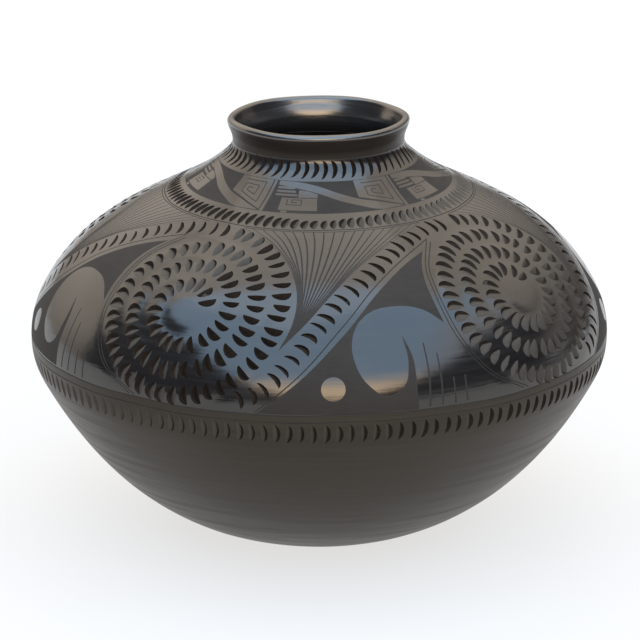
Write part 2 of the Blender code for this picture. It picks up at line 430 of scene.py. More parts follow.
@dataclass(frozen=True)
class Gouge:
    """One crescent cut on the plan: a steep wall in front, and a ramp that rises behind it."""

    place: Place = (0.0, 0.0)
    heading: float = 0.0
    scale: float = 1.0
    half_chord: float = 5.0
    front: float = 4.0
    back: float = 1.0
    depth: float = 1.8
    taper: float = 0.25
    wall: float = 1.8
    widest_wall: float = 0.45
    fullness: float = 0.6
    scoop: float = 2.1
    dug_scoop: float = 1.0
    ground: Ground = Ground.CUT
    rim_steps: int = 8
    back_steps: int = 4

    def dug(self, share: float) -> "Gouge":
        """The same cut shorter, steeper and deeper, as a tool that is pulled downward digs in.

        Args:
            share: How far it digs in, 0 not at all and 1 fully.

        Returns:
            The changed cut.
        """
        sizes = {name: getattr(self, name) * (1.0 + change * share) for name, change in DUG_CHANGES.items()}
        scoop = self.scoop + (self.dug_scoop - self.scoop) * share
        # Dug in past half, the whole cut takes the dark torn finish: painted shade on the cuts that run
        # downward.
        return replace(self, **sizes, scoop=scoop, ground=Ground.STEEP if share > 0.5 else self.ground)

    def swell(self, share: np.ndarray) -> np.ndarray:
        """How wide the cut is across its chord, 1 where it isn't tapered."""
        return 1.0 + self.taper * share

    def front_edge(self, share: np.ndarray) -> np.ndarray:
        """Reach of the front edge at a share of the half chord."""
        return self.front * np.sqrt(np.maximum(1.0 - share * share, 0.0)) * self.swell(share)

    def back_edge(self, share: np.ndarray) -> np.ndarray:
        """Place of the back edge at a share of the half chord."""
        return -self.back * (1.0 - share * share)

    def wall_width(self, share: np.ndarray) -> np.ndarray:
        """Width of the steep wall at a share of the half chord."""
        room = self.front_edge(share) - self.back_edge(share)
        return np.minimum(self.wall, self.widest_wall * room)

    def foot_edge(self, share: np.ndarray) -> np.ndarray:
        """Place of the foot of the steep wall at a share of the half chord."""
        return self.front_edge(share) - self.wall_width(share)

    def floor_depth(self, share: np.ndarray) -> np.ndarray:
        """Depth at the foot of the steep wall."""
        round_share = np.maximum(1.0 - share * share, 0.0) ** self.fullness
        return self.depth * round_share * np.sqrt(self.swell(share))

    @staticmethod
    def shares(steps: int, first: int, end: int) -> list[float]:
        """Shares of the half chord from the left tip to the right, closer together at the tips."""
        return [cos(pi * i / steps) for i in range(first, end)]

    def to_plan(self, ahead: float, share: float) -> Vector:
        """A point of the plan.

        Args:
            ahead: Distance ahead of the chord in millimetres.
            share: Share of the half chord to the left.

        Returns:
            The point.
        """
        side = share * self.half_chord
        x = ahead * cos(self.heading) - side * sin(self.heading)
        y = ahead * sin(self.heading) + side * cos(self.heading)
        return Vector((self.place[0] + x / self.scale, self.place[1] + y / self.scale))

    def rim(self) -> list[Vector]:
        """The closed edge of the cut.

        Returns:
            Its points, front arc first.
        """
        front = self.shares(self.rim_steps, 0, self.rim_steps + 1)
        back = [-share for share in self.shares(self.back_steps, 1, self.back_steps)]
        edge = [self.to_plan(float(self.front_edge(share)), share) for share in front]
        return edge + [self.to_plan(float(self.back_edge(share)), share) for share in back]

    def foot(self) -> list[Vector]:
        """The foot of the steep wall, without the cut's two tips."""
        shares = self.shares(self.rim_steps, 1, self.rim_steps)
        return [self.to_plan(float(self.foot_edge(share)), share) for share in shares]

    def ramp(self) -> list[Vector]:
        """The line halfway up the ramp.

        Returns:
            Its points, without those next to the cut's two tips.
        """
        shares = self.shares(self.rim_steps, 2, self.rim_steps - 1)
        middles = [float(self.foot_edge(share) + self.back_edge(share)) / 2 for share in shares]
        return [self.to_plan(middle, share) for middle, share in zip(middles, shares)]

    def depths(self, points: np.ndarray) -> np.ndarray:
        """How deep the cut is at points of the plan.

        Args:
            points: The points, one in each row.

        Returns:
            Their depths in millimetres, 0 outside the cut.
        """
        away = (points - np.array(self.place)) * self.scale
        ahead = away[:, 0] * cos(self.heading) + away[:, 1] * sin(self.heading)
        share = (away[:, 1] * cos(self.heading) - away[:, 0] * sin(self.heading)) / self.half_chord
        inside = np.abs(share) < 1.0
        share = np.clip(share, -1.0, 1.0)
        front, back, wall = self.front_edge(share), self.back_edge(share), self.wall_width(share)
        inside &= (ahead < front) & (ahead > back)
        steep = (front - ahead) / np.maximum(wall, TINY)
        ramp = (ahead - back) / np.maximum(front - wall - back, TINY)
        rise = np.clip(np.minimum(steep, np.maximum(ramp, 0.0) ** self.scoop), 0.0, 1.0)
        return np.where(inside, self.floor_depth(share) * rise, 0.0)


@dataclass
class Sheet:
    """The plan in triangles: turn, distance and depth of each point, and each triangle's ground."""

    turn: np.ndarray
    along: np.ndarray
    depth: np.ndarray
    triangles: np.ndarray
    grounds: np.ndarray


@dataclass
class Plan:
    """A flat drawing of the carved stretch of the wall, angle across and rise upward.

    Each waver of a ring groove is its height on the plan and how often it comes round.
    """

    wall: Wall
    margin: float = 0.12
    mesh_size: float = 3.0
    clearance: float = 1.25
    groove_depth: float = 0.16
    groove_overlap: float = 10.0
    groove_wavers: tuple[tuple[float, int], ...] = ((0.0016, 7), (0.001, 17))
    points: list[Vector] = field(default_factory=list)
    depths: list[float] = field(default_factory=list)
    edges: list[tuple[int, int]] = field(default_factory=list)
    faces: list[list[int]] = field(default_factory=list)
    face_grounds: list[Ground] = field(default_factory=list)
    gouges: list[Gouge] = field(default_factory=list)

    @property
    def outline(self) -> Outline:
        """The wall's outline."""
        return self.wall.outline

    def place(self, angle: float, along: float) -> Vector:
        """Point of the plan for a place on the wall."""
        return Vector((radians(angle), float(self.outline.rise(along))))

    def scale(self, point: Vector) -> float:
        """Millimetres in a unit of the plan at a point."""
        return float(self.outline.radius(self.outline.along(point.y)))

    def around(self, along: float) -> int:
        """How many steps of the mesh go round the wall at a distance along it."""
        return round(FULL_TURN * float(self.outline.radius(along)) / self.mesh_size)

    def copies(self, points: list[Vector]) -> list[list[Vector]]:
        """Repeat what comes near the straight cut behind on its other side.

        Args:
            points: Points of the plan.

        Returns:
            The points, and a copy a full turn away where they come near the cut.
        """
        found = []
        for shift in (-FULL_TURN, 0.0, FULL_TURN):
            moved = [Vector((point.x + shift, point.y)) for point in points]
            turns = [point.x for point in moved]
            if min(turns) < pi + self.margin and max(turns) > -pi - self.margin:
                found.append(moved)
        return found

    def add(self, points: list[Vector], depth: float = 0.0) -> list[int]:
        """Add points.

        Args:
            points: Points of the plan.
            depth: Their depth in millimetres.

        Returns:
            Their numbers.
        """
        first = len(self.points)
        self.points += points
        self.depths += [depth] * len(points)
        return list(range(first, len(self.points)))

    def chain(self, points: list[Vector], depth: float = 0.0) -> None:
        """Add points at one depth, and an edge from each to the next."""
        numbers = self.add(points, depth)
        self.edges += list(zip(numbers, numbers[1:]))

    def curve(self, places: list[Place], step: float = 2.4) -> list[Vector]:
        """A smooth line through places on the wall.

        Args:
            places: Angle and distance along the wall of each place.
            step: Longest step between its points in millimetres.

        Returns:
            Points of the plan.
        """
        knots = [self.place(*place) for place in places]
        ways = []
        for i, knot in enumerate(knots):
            before = knot - knots[max(i - 1, 0)]
            after = knots[min(i + 1, len(knots) - 1)] - knot
            sizes = max(before.length, 1e-9), max(after.length, 1e-9)
            ways.append((before.normalized() * sizes[1] + after.normalized() * sizes[0]).normalized())
        points = [knots[0]]
        for i, (start, end) in enumerate(zip(knots, knots[1:])):
            chord = (end - start).length
            reach = chord * self.outline.handle_share
            count = max(2, ceil(chord * self.scale((start + end) / 2) / step) + 1)
            bend = interpolate_bezier(start, start + ways[i] * reach, end - ways[i + 1] * reach, end, count)
            points += [point.to_2d() for point in bend[1:]]
        return points

    def lay(self, edge: list[int], ground: Ground) -> None:
        """Lay one ground over what was laid before.

        Args:
            edge: Numbers of the points round it, either way about.
            ground: The ground inside them.
        """
        corners = [self.points[i] for i in edge]
        sides = zip(corners, corners[1:] + corners[:1])
        area = sum(start.x * end.y - end.x * start.y for start, end in sides)
        self.faces.append(edge if area > 0.0 else edge[::-1])
        self.face_grounds.append(ground)

    def region(self, outline: list[Vector], ground: Ground) -> None:
        """Lay one ground inside a closed outline."""
        for points in self.copies(outline):
            self.lay(self.add(points), ground)

    def stroke(self, line: list[Vector], width: float, tip: float | None = None, groove: bool = True) -> None:
        """Draw a line in slip, cut a little into the clay or painted flush.

        Args:
            line: Points of its middle.
            width: Width in millimetres.
            tip: Width at its far end, the same as its width if left out.
            groove: True for a cut line and False for a painted one.
        """
        tip = width if tip is None else tip
        lefts, rights = [], []
        for i, point in enumerate(line):
            way = (line[min(i + 1, len(line) - 1)] - line[max(i - 1, 0)]).normalized()
            half = (width + (tip - width) * i / (len(line) - 1)) / 2 / self.scale(point)
            lefts.append(point + Vector((-way.y, way.x)) * half)
            rights.append(point - Vector((-way.y, way.x)) * half)
        self.region(lefts + rights[::-1], Ground.GROOVE if groove else Ground.SLIP)
        if groove:
            for points in self.copies(line[1:-1]):
                self.chain(points, self.groove_depth)

    def gouge(self, cut: Gouge) -> None:
        """Cut one gouge, its floor and then its steep wall.

        Args:
            cut: The gouge.
        """
        own = cut.rim()
        for rim in self.copies(own):
            moved = replace(cut, place=(cut.place[0] + rim[0].x - own[0].x, cut.place[1]))
            edge = self.add(rim)
            self.lay(edge, cut.ground)
            foot = self.add(moved.foot())
            # The steep wall takes the dark torn finish, whose colour is painted shade.
            self.lay(edge[: cut.rim_steps + 1] + foot[::-1], Ground.STEEP)
            self.add(moved.ramp())
            self.gouges.append(moved)

    def ring(self, along: float, count: int | None = None) -> None:
        """Draw a line all round, for a seam or a change of ground.

        Args:
            along: Its distance along the wall.
            count: How many steps it has all round, as the mesh has if left out.
        """
        count = count or self.around(along)
        extra = ceil(self.margin * count / FULL_TURN)
        rise = float(self.outline.rise(along))
        self.chain([Vector((-pi + FULL_TURN * i / count, rise)) for i in range(-extra, count + extra + 1)])

    def ring_groove(self, along: float, width: float) -> None:
        """Cut a thin line all round, a little unsteady.

        Args:
            along: Its distance along the wall.
            width: Its width in millimetres.
        """
        count = self.around(along)
        span = 360.0 + 2.0 * self.groove_overlap
        middle = []
        for i in range(count + 1):
            point = self.place(-span / 2 + span * i / count, along)
            waver = sum(height * sin(often * point.x) for height, often in self.groove_wavers)
            middle.append(point + Vector((0.0, waver)))
        half = Vector((0.0, width / 2 / float(self.outline.radius(along))))
        band = [point + half for point in middle] + [point - half for point in middle[::-1]]
        self.lay(self.add(band), Ground.GROOVE)
        self.chain(middle[1:-1], self.groove_depth)

    def fill(self, seams: list[float]) -> None:
        """Fill the open ground with an even net of points that keeps clear of what is drawn.

        Args:
            seams: The seams that the plan is cut along, lowest first.
        """
        drawn = KDTree(len(self.points))
        for i, point in enumerate(self.points):
            drawn.insert((point.x, point.y, 0.0), i)
        drawn.balance()
        spots = []
        for lower, upper in zip(seams, seams[1:]):
            rows = max(2, round((upper - lower) / (self.mesh_size * sqrt(3.0) / 2.0)))
            for row in range(1, rows):
                along = lower + (upper - lower) * row / rows
                rise, radius = float(self.outline.rise(along)), float(self.outline.radius(along))
                count = self.around(along)
                extra = ceil(self.margin * count / FULL_TURN)
                for i in range(-extra, count + extra):
                    spot = (-pi + FULL_TURN * (i + 0.5 * (row % 2)) / count, rise, 0.0)
                    if drawn.find(spot)[2] * radius > self.clearance:
                        spots.append(Vector(spot[:2]))
        self.add(spots)

    def cut_behind(self, seams: list[float]) -> None:
        """Draw the straight cut behind, on both sides of the plan.

        Args:
            seams: The seams that the plan is cut along, lowest first.
        """
        spots = [*np.arange(seams[0], seams[-1], self.mesh_size), seams[-1]]
        for side in (-pi, pi):
            self.chain([Vector((side, float(self.outline.rise(along)))) for along in spots])

    @staticmethod
    def open_ground(along: float) -> Ground:
        """The ground where no motif lies.

        Args:
            along: Distance along the wall.

        Returns:
            The ground there.
        """
        if along < BANDS.groove_high:
            return Ground.SATIN
        if along > BANDS.neck_low:
            return Ground.NECK
        if BANDS.frieze_low < along < BANDS.frieze_high:
            return Ground.SLIP
        return Ground.POLISHED

    def cut_out(self, seams: list[float]) -> Sheet:
        """Cut the plan into triangles that follow every line drawn on it.

        Args:
            seams: The seams that it is cut along, lowest first.

        Returns:
            The triangles, with the depths of their corners and their grounds.
        """
        self.cut_behind(seams)
        self.fill(seams)
        points, _, faces, sources, _, laid = delaunay_2d_cdt(
            self.points, self.edges, self.faces, 0, TINY, True,
        )
        spots = np.array([(point.x, point.y) for point in points])
        triangles = np.array(faces)
        middles = spots[triangles].mean(axis=1)
        heights = self.outline.along(middles[:, 1])
        grounds = np.array([
            (self.face_grounds[max(over)] if over else self.open_ground(float(height))).value
            for over, height in zip(laid, heights)
        ])
        depth = np.array([max((self.depths[i] for i in source), default=0.0) for source in sources])
        self.deepen_crossings(depth, sources, triangles, grounds)
        self.deepen_gouges(depth, spots)
        kept = np.abs(middles[:, 0]) < pi
        LOG.info("plan: %d gouges, %d points, %d triangles", len(self.gouges), len(spots), int(kept.sum()))
        return Sheet(spots[:, 0], self.outline.along(spots[:, 1]), depth, triangles[kept], grounds[kept])

    def deepen_crossings(
        self, depth: np.ndarray, sources: list, triangles: np.ndarray, grounds: np.ndarray,
    ) -> None:
        """Sink new points that lie wholly inside a cut line, where it crosses a seam.

        Args:
            depth: Depth of each point, changed in place.
            sources: The drawn points that each point comes from, none for a new one.
            triangles: Corners of each triangle.
            grounds: Ground of each triangle.
        """
        groove = np.ones(len(depth), bool)
        groove[triangles[grounds != Ground.GROOVE.value].ravel()] = False
        new = np.array([not source for source in sources])
        depth[groove & new] = self.groove_depth

    def deepen_gouges(self, depth: np.ndarray, spots: np.ndarray) -> None:
        """Sink each point that lies in a gouge.

        Args:
            depth: Depth of each point, changed in place.
            spots: The points, one in each row.
        """
        tree = KDTree(len(spots))
        for i, spot in enumerate(spots):
            tree.insert((spot[0], spot[1], 0.0), i)
        tree.balance()
        for cut in self.gouges:
            reach = hypot(cut.half_chord, cut.front * (1.0 + abs(cut.taper))) / cut.scale
            near = [found[1] for found in tree.find_range((cut.place[0], cut.place[1], 0.0), reach)]
            depth[near] = np.maximum(depth[near], cut.depths(spots[near]))


@dataclass
class Hand:
    """The small unevenness of a hand that repeats one cut hundreds of times."""

    seed: int
    drift: float = 0.3
    sway: float = 3.5
    spread: float = 0.09
    front_spreads: float = 2.0
    depth_spreads: float = 1.5
    chance: random.Random = field(init=False)

    def __post_init__(self) -> None:
        """Start the run of chances from the seed."""
        self.chance = random.Random(self.seed)

    def vary(self, cut: Gouge) -> Gouge:
        """The same cut as the hand made it this time.

        Args:
            cut: The cut that was meant.

        Returns:
            The cut that was made.
        """
        chance = self.chance
        return replace(
            cut,
            place=(
                cut.place[0] + chance.gauss(0.0, self.drift) / cut.scale,
                cut.place[1] + chance.gauss(0.0, self.drift) / cut.scale,
            ),
            heading=cut.heading + radians(chance.gauss(0.0, self.sway)),
            half_chord=cut.half_chord * (1.0 + chance.uniform(-self.spread, self.spread)),
            front=cut.front * (1.0 + chance.uniform(-self.front_spreads, self.front_spreads) * self.spread),
            depth=cut.depth * (1.0 + chance.uniform(-self.depth_spreads, self.depth_spreads) * self.spread),
        )


@dataclass
class NotchBand:
    """A band of notches, evenly spaced all round, whose top may dip in front."""

    plan: Plan
    low: float
    high: float
    count: int
    seed: int
    cut: Gouge
    heading: float = 0.0
    dip: float = 0.0
    dip_width: float = 14.0
    set_back: float = 0.3
    scoop: float = 1.3

    def draw(self) -> None:
        """Cut the notches."""
        hand = Hand(self.seed, drift=0.12, sway=2.5, spread=0.07)
        heading = radians(self.heading)
        for i in range(self.count):
            angle = -180.0 + 360.0 * (i + 0.5) / self.count
            high = self.high - self.dip * exp(-((angle / self.dip_width) ** 2))
            spot = self.plan.place(angle, (self.low + high) / 2)
            scale = self.plan.scale(spot)
            place = (spot.x - self.set_back * self.cut.front * cos(heading) / scale, spot.y)
            half_chord = (high - self.low) / 2
            cut = replace(
                self.cut, place=place, heading=heading, scale=scale, half_chord=half_chord, scoop=self.scoop,
            )
            self.plan.gouge(hand.vary(cut))


@dataclass
class Row:
    """A row of gouges that follows a line on the plan, each headed along it."""

    plan: Plan
    hand: Hand
    line: list[Vector]
    spacing: float
    cut: Gouge
    end_spacing: float | None = None
    swell: float = 0.0
    swell_middle: float = 0.6
    dig: float = 0.0
    dig_lean: float = 0.25
    digging: Span = (0.1, 0.75)

    def draw(self) -> int:
        """Cut the row.

        Returns:
            The number of its gouges.
        """
        end_spacing = self.spacing if self.end_spacing is None else self.end_spacing
        walked, target, count = 0.0, self.spacing / 2, 0
        pairs = list(zip(self.line, self.line[1:]))
        lengths = [(end - start).length * self.plan.scale((start + end) / 2) for start, end in pairs]
        whole = sum(lengths)
        for (start, end), length in zip(pairs, lengths):
            while walked + length > target:
                way = end - start
                spot = start + way * ((target - walked) / length)
                self.plan.gouge(self.hand.vary(self.turned(spot, atan2(way.y, way.x))))
                count += 1
                target += self.spacing + (end_spacing - self.spacing) * target / whole
            walked += length
        return count

    def turned(self, spot: Vector, heading: float) -> Gouge:
        """The row's cut at one spot: wider and dug deeper where the row runs downward.

        Args:
            spot: Where it lies on the plan.
            heading: The way of the row there in radians.

        Returns:
            The cut.
        """
        front = self.cut.front * (1.0 + self.swell * (self.swell_middle - cos(heading)))
        place = (spot.x, spot.y)
        cut = replace(self.cut, place=place, heading=heading, scale=self.plan.scale(spot), front=front)
        # Where the row runs downward the cut is dug in, and past half it takes the dark finish of painted
        # shade.
        downward = -sin(heading) - self.dig_lean * cos(heading)
        return cut.dug(self.dig * float(eased(downward, *self.digging)))


@dataclass
class Medallion:
    """A spiral of crescent cuts that winds in to a smooth boss."""

    plan: Plan
    hand: Hand
    chart: Chart
    turns: float = 3.2
    spacing: float = 7.2
    inner_spacing: float = 6.3
    points_in_turn: int = 90
    depth: float = 1.8
    swell: float = 0.16
    dig: float = 1.0

    def spiral(self) -> list[Vector]:
        """The line that the cuts follow, from the top inward, clockwise.

        Returns:
            Its points.
        """
        points = []
        for i in range(round(self.turns * self.points_in_turn) + 1):
            turns = i / self.points_in_turn
            reach = self.chart.reach - self.chart.pitch * turns
            points.append(self.plan.place(*self.chart.place(reach, pi / 2 - FULL_TURN * turns)))
        return points

    def draw(self) -> None:
        """Cut the spiral."""
        row = Row(
            self.plan, self.hand, self.spiral(), self.spacing, Gouge(depth=self.depth), self.inner_spacing,
            swell=self.swell, dig=self.dig,
        )
        LOG.info("medallion at %.1f degrees: %d cuts", self.chart.angle, row.draw())


@dataclass
class Unit:
    """One repeat of a motif, drawn in places measured from an angle in the first."""

    plan: Plan
    repeat: Repeat
    unit: int

    def places(self, places: list[Place], start: float = 0.0) -> list[Place]:
        """Places measured from an angle in the first unit, moved to this one."""
        return [(self.repeat.moved(angle + start, self.unit), along) for angle, along in places]

    def curve(self, places: list[Place], start: float = 0.0, step: float = 2.4) -> list[Vector]:
        """A smooth line on the plan through places measured in the first unit."""
        return self.plan.curve(self.places(places, start), step)


@dataclass
class FieldUnit(Unit):
    """One repeat of the shoulder: a medallion, a fan, a row of cuts and a slipped panel."""

    hand: Hand
    chart: Chart
    light_unit: int = 1
    light_depth: float = 1.3
    light_dig: float = 0.45
    dot_place: Place = (2.6, 188.5)
    dot_radius: float = 6.4
    dot_points: int = 28
    comb_foot: float = 176.0
    comb_width: float = 1.15
    comb_tip: float = 0.75
    fan_lines: int = 19
    fan_line_width: float = 0.62
    fan_bend: int = 4
    least_gap: float = 0.55
    fan_low: float = 226.0
    fan_high: float = 287.4
    fan_points: int = 25
    ray_points: int = 24
    ray_foot: float = 229.0
    ray_foot_waver: float = 2.5
    ray_foot_turn: float = 2.4
    ray_taper: float = 0.25
    ray_least: float = 0.08
    row_start: float = -30.5
    row_spacing: float = 7.3

    def draw(self) -> None:
        """Draw the whole unit, ground first."""
        self.draw_panel()
        self.draw_fan()
        self.draw_borders()
        medallion = Medallion(self.plan, self.hand, self.chart)
        # This medallion is cut shallower and dug in less, too little for its cut floors to take the dark
        # finish of painted shade.
        if self.unit == self.light_unit:
            medallion = replace(medallion, depth=self.light_depth, dig=self.light_dig)
        medallion.draw()
        self.draw_row()

    def draw_panel(self) -> None:
        """Lay the slipped panel round its polished disc and claw, with its dot and comb."""
        plan = self.plan
        border = [
            (-12.0, BANDS.panel_low), (-5.0, 190.0), (5.0, 217.0), (15.0, 243.5), (25.0, 260.0),
            (31.5, 266.5),
        ]
        inner = [(31.5, 266.5), (28.6, 257.0), (27.0, 245.0), (26.9, 232.0), (27.4, 219.5)]
        disc = [
            (27.4, 219.5), (23.5, 228.5), (17.5, 232.3), (10.0, 227.8), (6.9, 216.0), (7.0, 202.0),
            (9.2, 190.5), (13.2, 184.0), (16.3, 188.2), (17.6, 199.0), (17.3, 215.2),
        ]
        claw = [(17.3, 215.2), (18.5, 206.0), (18.85, 186.0), (18.9, 175.2)]
        outline = [plan.place(*self.places(border)[0])]
        for part in (border, inner, disc, claw):
            outline += self.curve(part)[1:]
        bottom = self.curve([claw[-1], border[0]])[1:-1]
        plan.region(outline + bottom, Ground.SLIP)
        centre = plan.place(*self.places([self.dot_place])[0])
        radius = self.dot_radius / plan.scale(centre)
        turns = [FULL_TURN * i / self.dot_points for i in range(self.dot_points)]
        plan.region([centre + Vector((cos(turn), sin(turn))) * radius for turn in turns], Ground.POLISHED)
        low = self.comb_foot
        comb = ((21.2, 210.0, 0.3), (23.8, 203.5, 0.1), (26.5, 190.0, 0.0), (29.1, 190.0, -0.1))
        for angle, high, drift in comb:
            tooth = [(angle, low), (angle + drift, (low + high) / 2), (angle + drift, high)]
            plan.stroke(self.curve(tooth), self.comb_width, self.comb_tip, groove=False)

    def draw_fan(self) -> None:
        """Lay the slipped wedge, and the polished rays that widen up to the shoulder band."""
        top = BANDS.fan_top
        left = [
            (-8.3, 208.5), (-6.0, 222.0), (-5.2, 238.0), (-6.5, 252.5), (-10.0, 266.0), (-16.0, 277.0),
            (-28.0, top),
        ]
        right = [
            (-8.3, 208.5), (-3.5, 222.0), (3.0, 241.5), (10.0, 258.0), (20.0, 272.0), (30.0, 281.5),
            (39.0, top),
        ]
        left_line = self.curve(left)
        right_line = self.curve(right)
        edge = self.curve([right[-1], (5.0, top), left[-1]])[1:-1]
        self.plan.region(right_line + edge + left_line[:0:-1], Ground.SLIP)
        rises, lines = self.fan_curves(left_line, right_line)
        for i, (low, high) in enumerate(zip(lines, lines[1:])):
            foot = self.ray_foot + self.ray_foot_waver * sin(self.ray_foot_turn * i)
            spots = np.linspace(float(self.plan.outline.rise(foot)), rises[-1], self.ray_points)
            ray = self.ray(spots, np.interp(spots, rises, low), np.interp(spots, rises, high))
            self.plan.region(ray, Ground.POLISHED)

    def fan_curves(self, left: list[Vector], right: list[Vector]) -> tuple[np.ndarray, np.ndarray]:
        """The lines of the fan, which bend with its sides and straighten towards its middle.

        Args:
            left: Its left side.
            right: Its right side.

        Returns:
            Rises from its foot to its top, and the angle of each line at them.
        """
        outline = self.plan.outline
        low, high = (float(outline.rise(along)) for along in (self.fan_low, self.fan_high))
        rises = np.linspace(low, high, self.fan_points)
        ways = outline.along(rises)
        climb = (ways - ways[0]) / (ways[-1] - ways[0])
        sides = []
        for side in (left, right):
            sides.append(np.interp(rises, [point.y for point in side], [point.x for point in side]))
        straight = [side[0] + (side[-1] - side[0]) * climb for side in sides]
        shares = np.linspace(0.0, 1.0, self.fan_lines)[:, None]
        lines = straight[0] * (1.0 - shares) + straight[1] * shares
        lines += (sides[0] - straight[0]) * (1.0 - shares) ** self.fan_bend
        lines += (sides[1] - straight[1]) * shares ** self.fan_bend
        gap = self.least_gap * (sides[1] - sides[0]) / (self.fan_lines - 1)
        for i in range(1, self.fan_lines - 1):
            lines[i] = np.maximum(lines[i], lines[i - 1] + gap)
        for i in range(self.fan_lines - 2, 0, -1):
            lines[i] = np.minimum(lines[i], lines[i + 1] - gap)
        return rises, lines

    def ray(self, spots: np.ndarray, lows: np.ndarray, highs: np.ndarray) -> list[Vector]:
        """The outline of the polished ray between two lines of the fan.

        Args:
            spots: Rises of its points, from its foot to its top.
            lows: Angle of the line on its left at each rise.
            highs: Angle of the line on its right at each rise.

        Returns:
            Points of the plan.
        """
        room = (highs - lows) / 2
        outline = self.plan.outline
        half = self.fan_line_width / 2 / outline.radius(outline.along(spots))
        taper = np.linspace(self.ray_taper, 0.0, len(spots))
        inset = np.minimum(half + room * taper, room * (1.0 - self.ray_least))
        inset[0] = room[0]
        left = [Vector((float(x), float(y))) for x, y in zip(lows + inset, spots)]
        right = [Vector((float(x), float(y))) for x, y in zip(highs - inset, spots)]
        return left + right[:0:-1]

    def draw_borders(self) -> None:
        """Cut the line beside the row of cuts, and the double line round the next medallion."""
        beside = [
            (-12.3, 175.6), (-10.0, 180.5), (-5.0, 192.5), (5.0, 222.0), (15.0, 248.0), (25.0, 263.8),
            (36.0, 274.8),
        ]
        outer = [
            (35.6, 274.0), (32.5, 266.0), (29.0, 253.0), (28.1, 238.0), (28.2, 225.0), (30.2, 205.0),
            (34.0, 190.0), (42.6, 175.8),
        ]
        inner = [
            (36.4, 272.0), (33.7, 265.5), (30.0, 253.0), (29.0, 238.0), (29.1, 225.0), (31.1, 205.0),
            (34.9, 190.0), (43.8, 175.8),
        ]
        for line, width in ((beside, 0.6), (outer, 0.55), (inner, 0.55)):
            self.plan.stroke(self.curve(line), width)

    def draw_row(self) -> None:
        """Cut the row that climbs from this medallion to the top of the next."""
        path = [
            (13.5, 179.5), (19.0, 186.5), (25.0, 203.5), (31.5, 226.0), (38.0, 243.5),
            (45.3, 256.5), (54.3, 271.0), (61.5, 277.5), (68.0, 281.5), (80.5, 283.0),
        ]
        # The whole cut takes the dark torn finish: painted shade in the slits.
        cut = Gouge(
            half_chord=5.1, front=3.3, back=-0.8, depth=1.5, taper=-0.2, wall=0.6, ground=Ground.STEEP,
        )
        Row(self.plan, self.hand, self.curve(path, self.row_start), self.row_spacing, cut).draw()


@dataclass
class FriezeUnit(Unit):
    """One repeat of the neck's slipped frieze: a fret, a falling stripe, a wing and a block."""

    start: float = -25.3
    line_width: float = 0.55
    step: float = 2.0
    edge: float = 0.25

    def shape(self, places: list[Place]) -> None:
        """Lay a straight-sided polished shape.

        Args:
            places: Its corners, measured from the start of a repeat.
        """
        outline: list[Vector] = []
        for start, end in zip(places, places[1:] + places[:1]):
            outline += self.curve([start, end], self.start, self.step)[:-1]
        self.plan.region(outline, Ground.POLISHED)

    def lines(self, places: list[Place]) -> None:
        """Paint a line with sharp turns.

        Args:
            places: Its corners, measured from the start of a repeat.
        """
        for start, end in zip(places, places[1:]):
            line = self.curve([start, end], self.start, self.step)
            self.plan.stroke(line, self.line_width, groove=False)

    def draw(self) -> None:
        """Draw the repeat."""
        low, high = BANDS.frieze_low + self.edge, BANDS.frieze_high - self.edge
        self.shape([(0.35, high), (1.85, high), (0.65, low), (-0.85, low)])
        upper = [
            (3.3, high), (15.3, 323.8), (25.3, 321.3), (35.3, 316.5), (45.3, 311.6), (53.0, 308.6),
            (64.5, 302.6),
        ]
        lower = [
            (54.0, low), (49.8, 303.6), (45.3, 306.2), (35.3, 311.2), (25.3, 316.5), (15.3, 319.5),
            (3.3, 321.6),
        ]
        self.plan.region(self.curve(upper, self.start) + self.curve(lower, self.start), Ground.POLISHED)
        for bottom, top, end in ((319.2, 320.7, 12.8), (316.8, 318.2, 13.6), (314.4, 315.8, 14.6)):
            self.shape([(3.5, bottom), (end, bottom), (end, top), (3.5, top)])
        self.shape([(15.2, 313.6), (24.8, 313.6), (24.8, 316.1), (20.0, 318.0), (15.2, 318.7)])
        self.shape([(7.3, 304.2), (24.5, 304.2), (24.5, 313.1), (7.3, 313.1)])
        self.shape([(8.8, low), (11.4, low), (11.4, 303.7), (8.8, 303.7)])
        self.lines([
            (10.4, 312.1), (10.4, 308.2), (17.2, 308.2), (17.2, 311.9), (12.6, 311.9), (12.6, 309.9),
            (15.2, 309.9),
        ])
        self.shape([(44.9, 313.0), (44.9, high), (65.6, high), (64.6, 303.4), (53.8, 309.6)])
        self.lines([
            (48.6, 322.2), (61.8, 322.2), (61.6, 308.2), (50.2, 313.8), (50.2, 319.6), (58.6, 319.4),
            (58.4, 313.0), (53.0, 315.2), (53.0, 317.4), (55.8, 317.2),
        ])


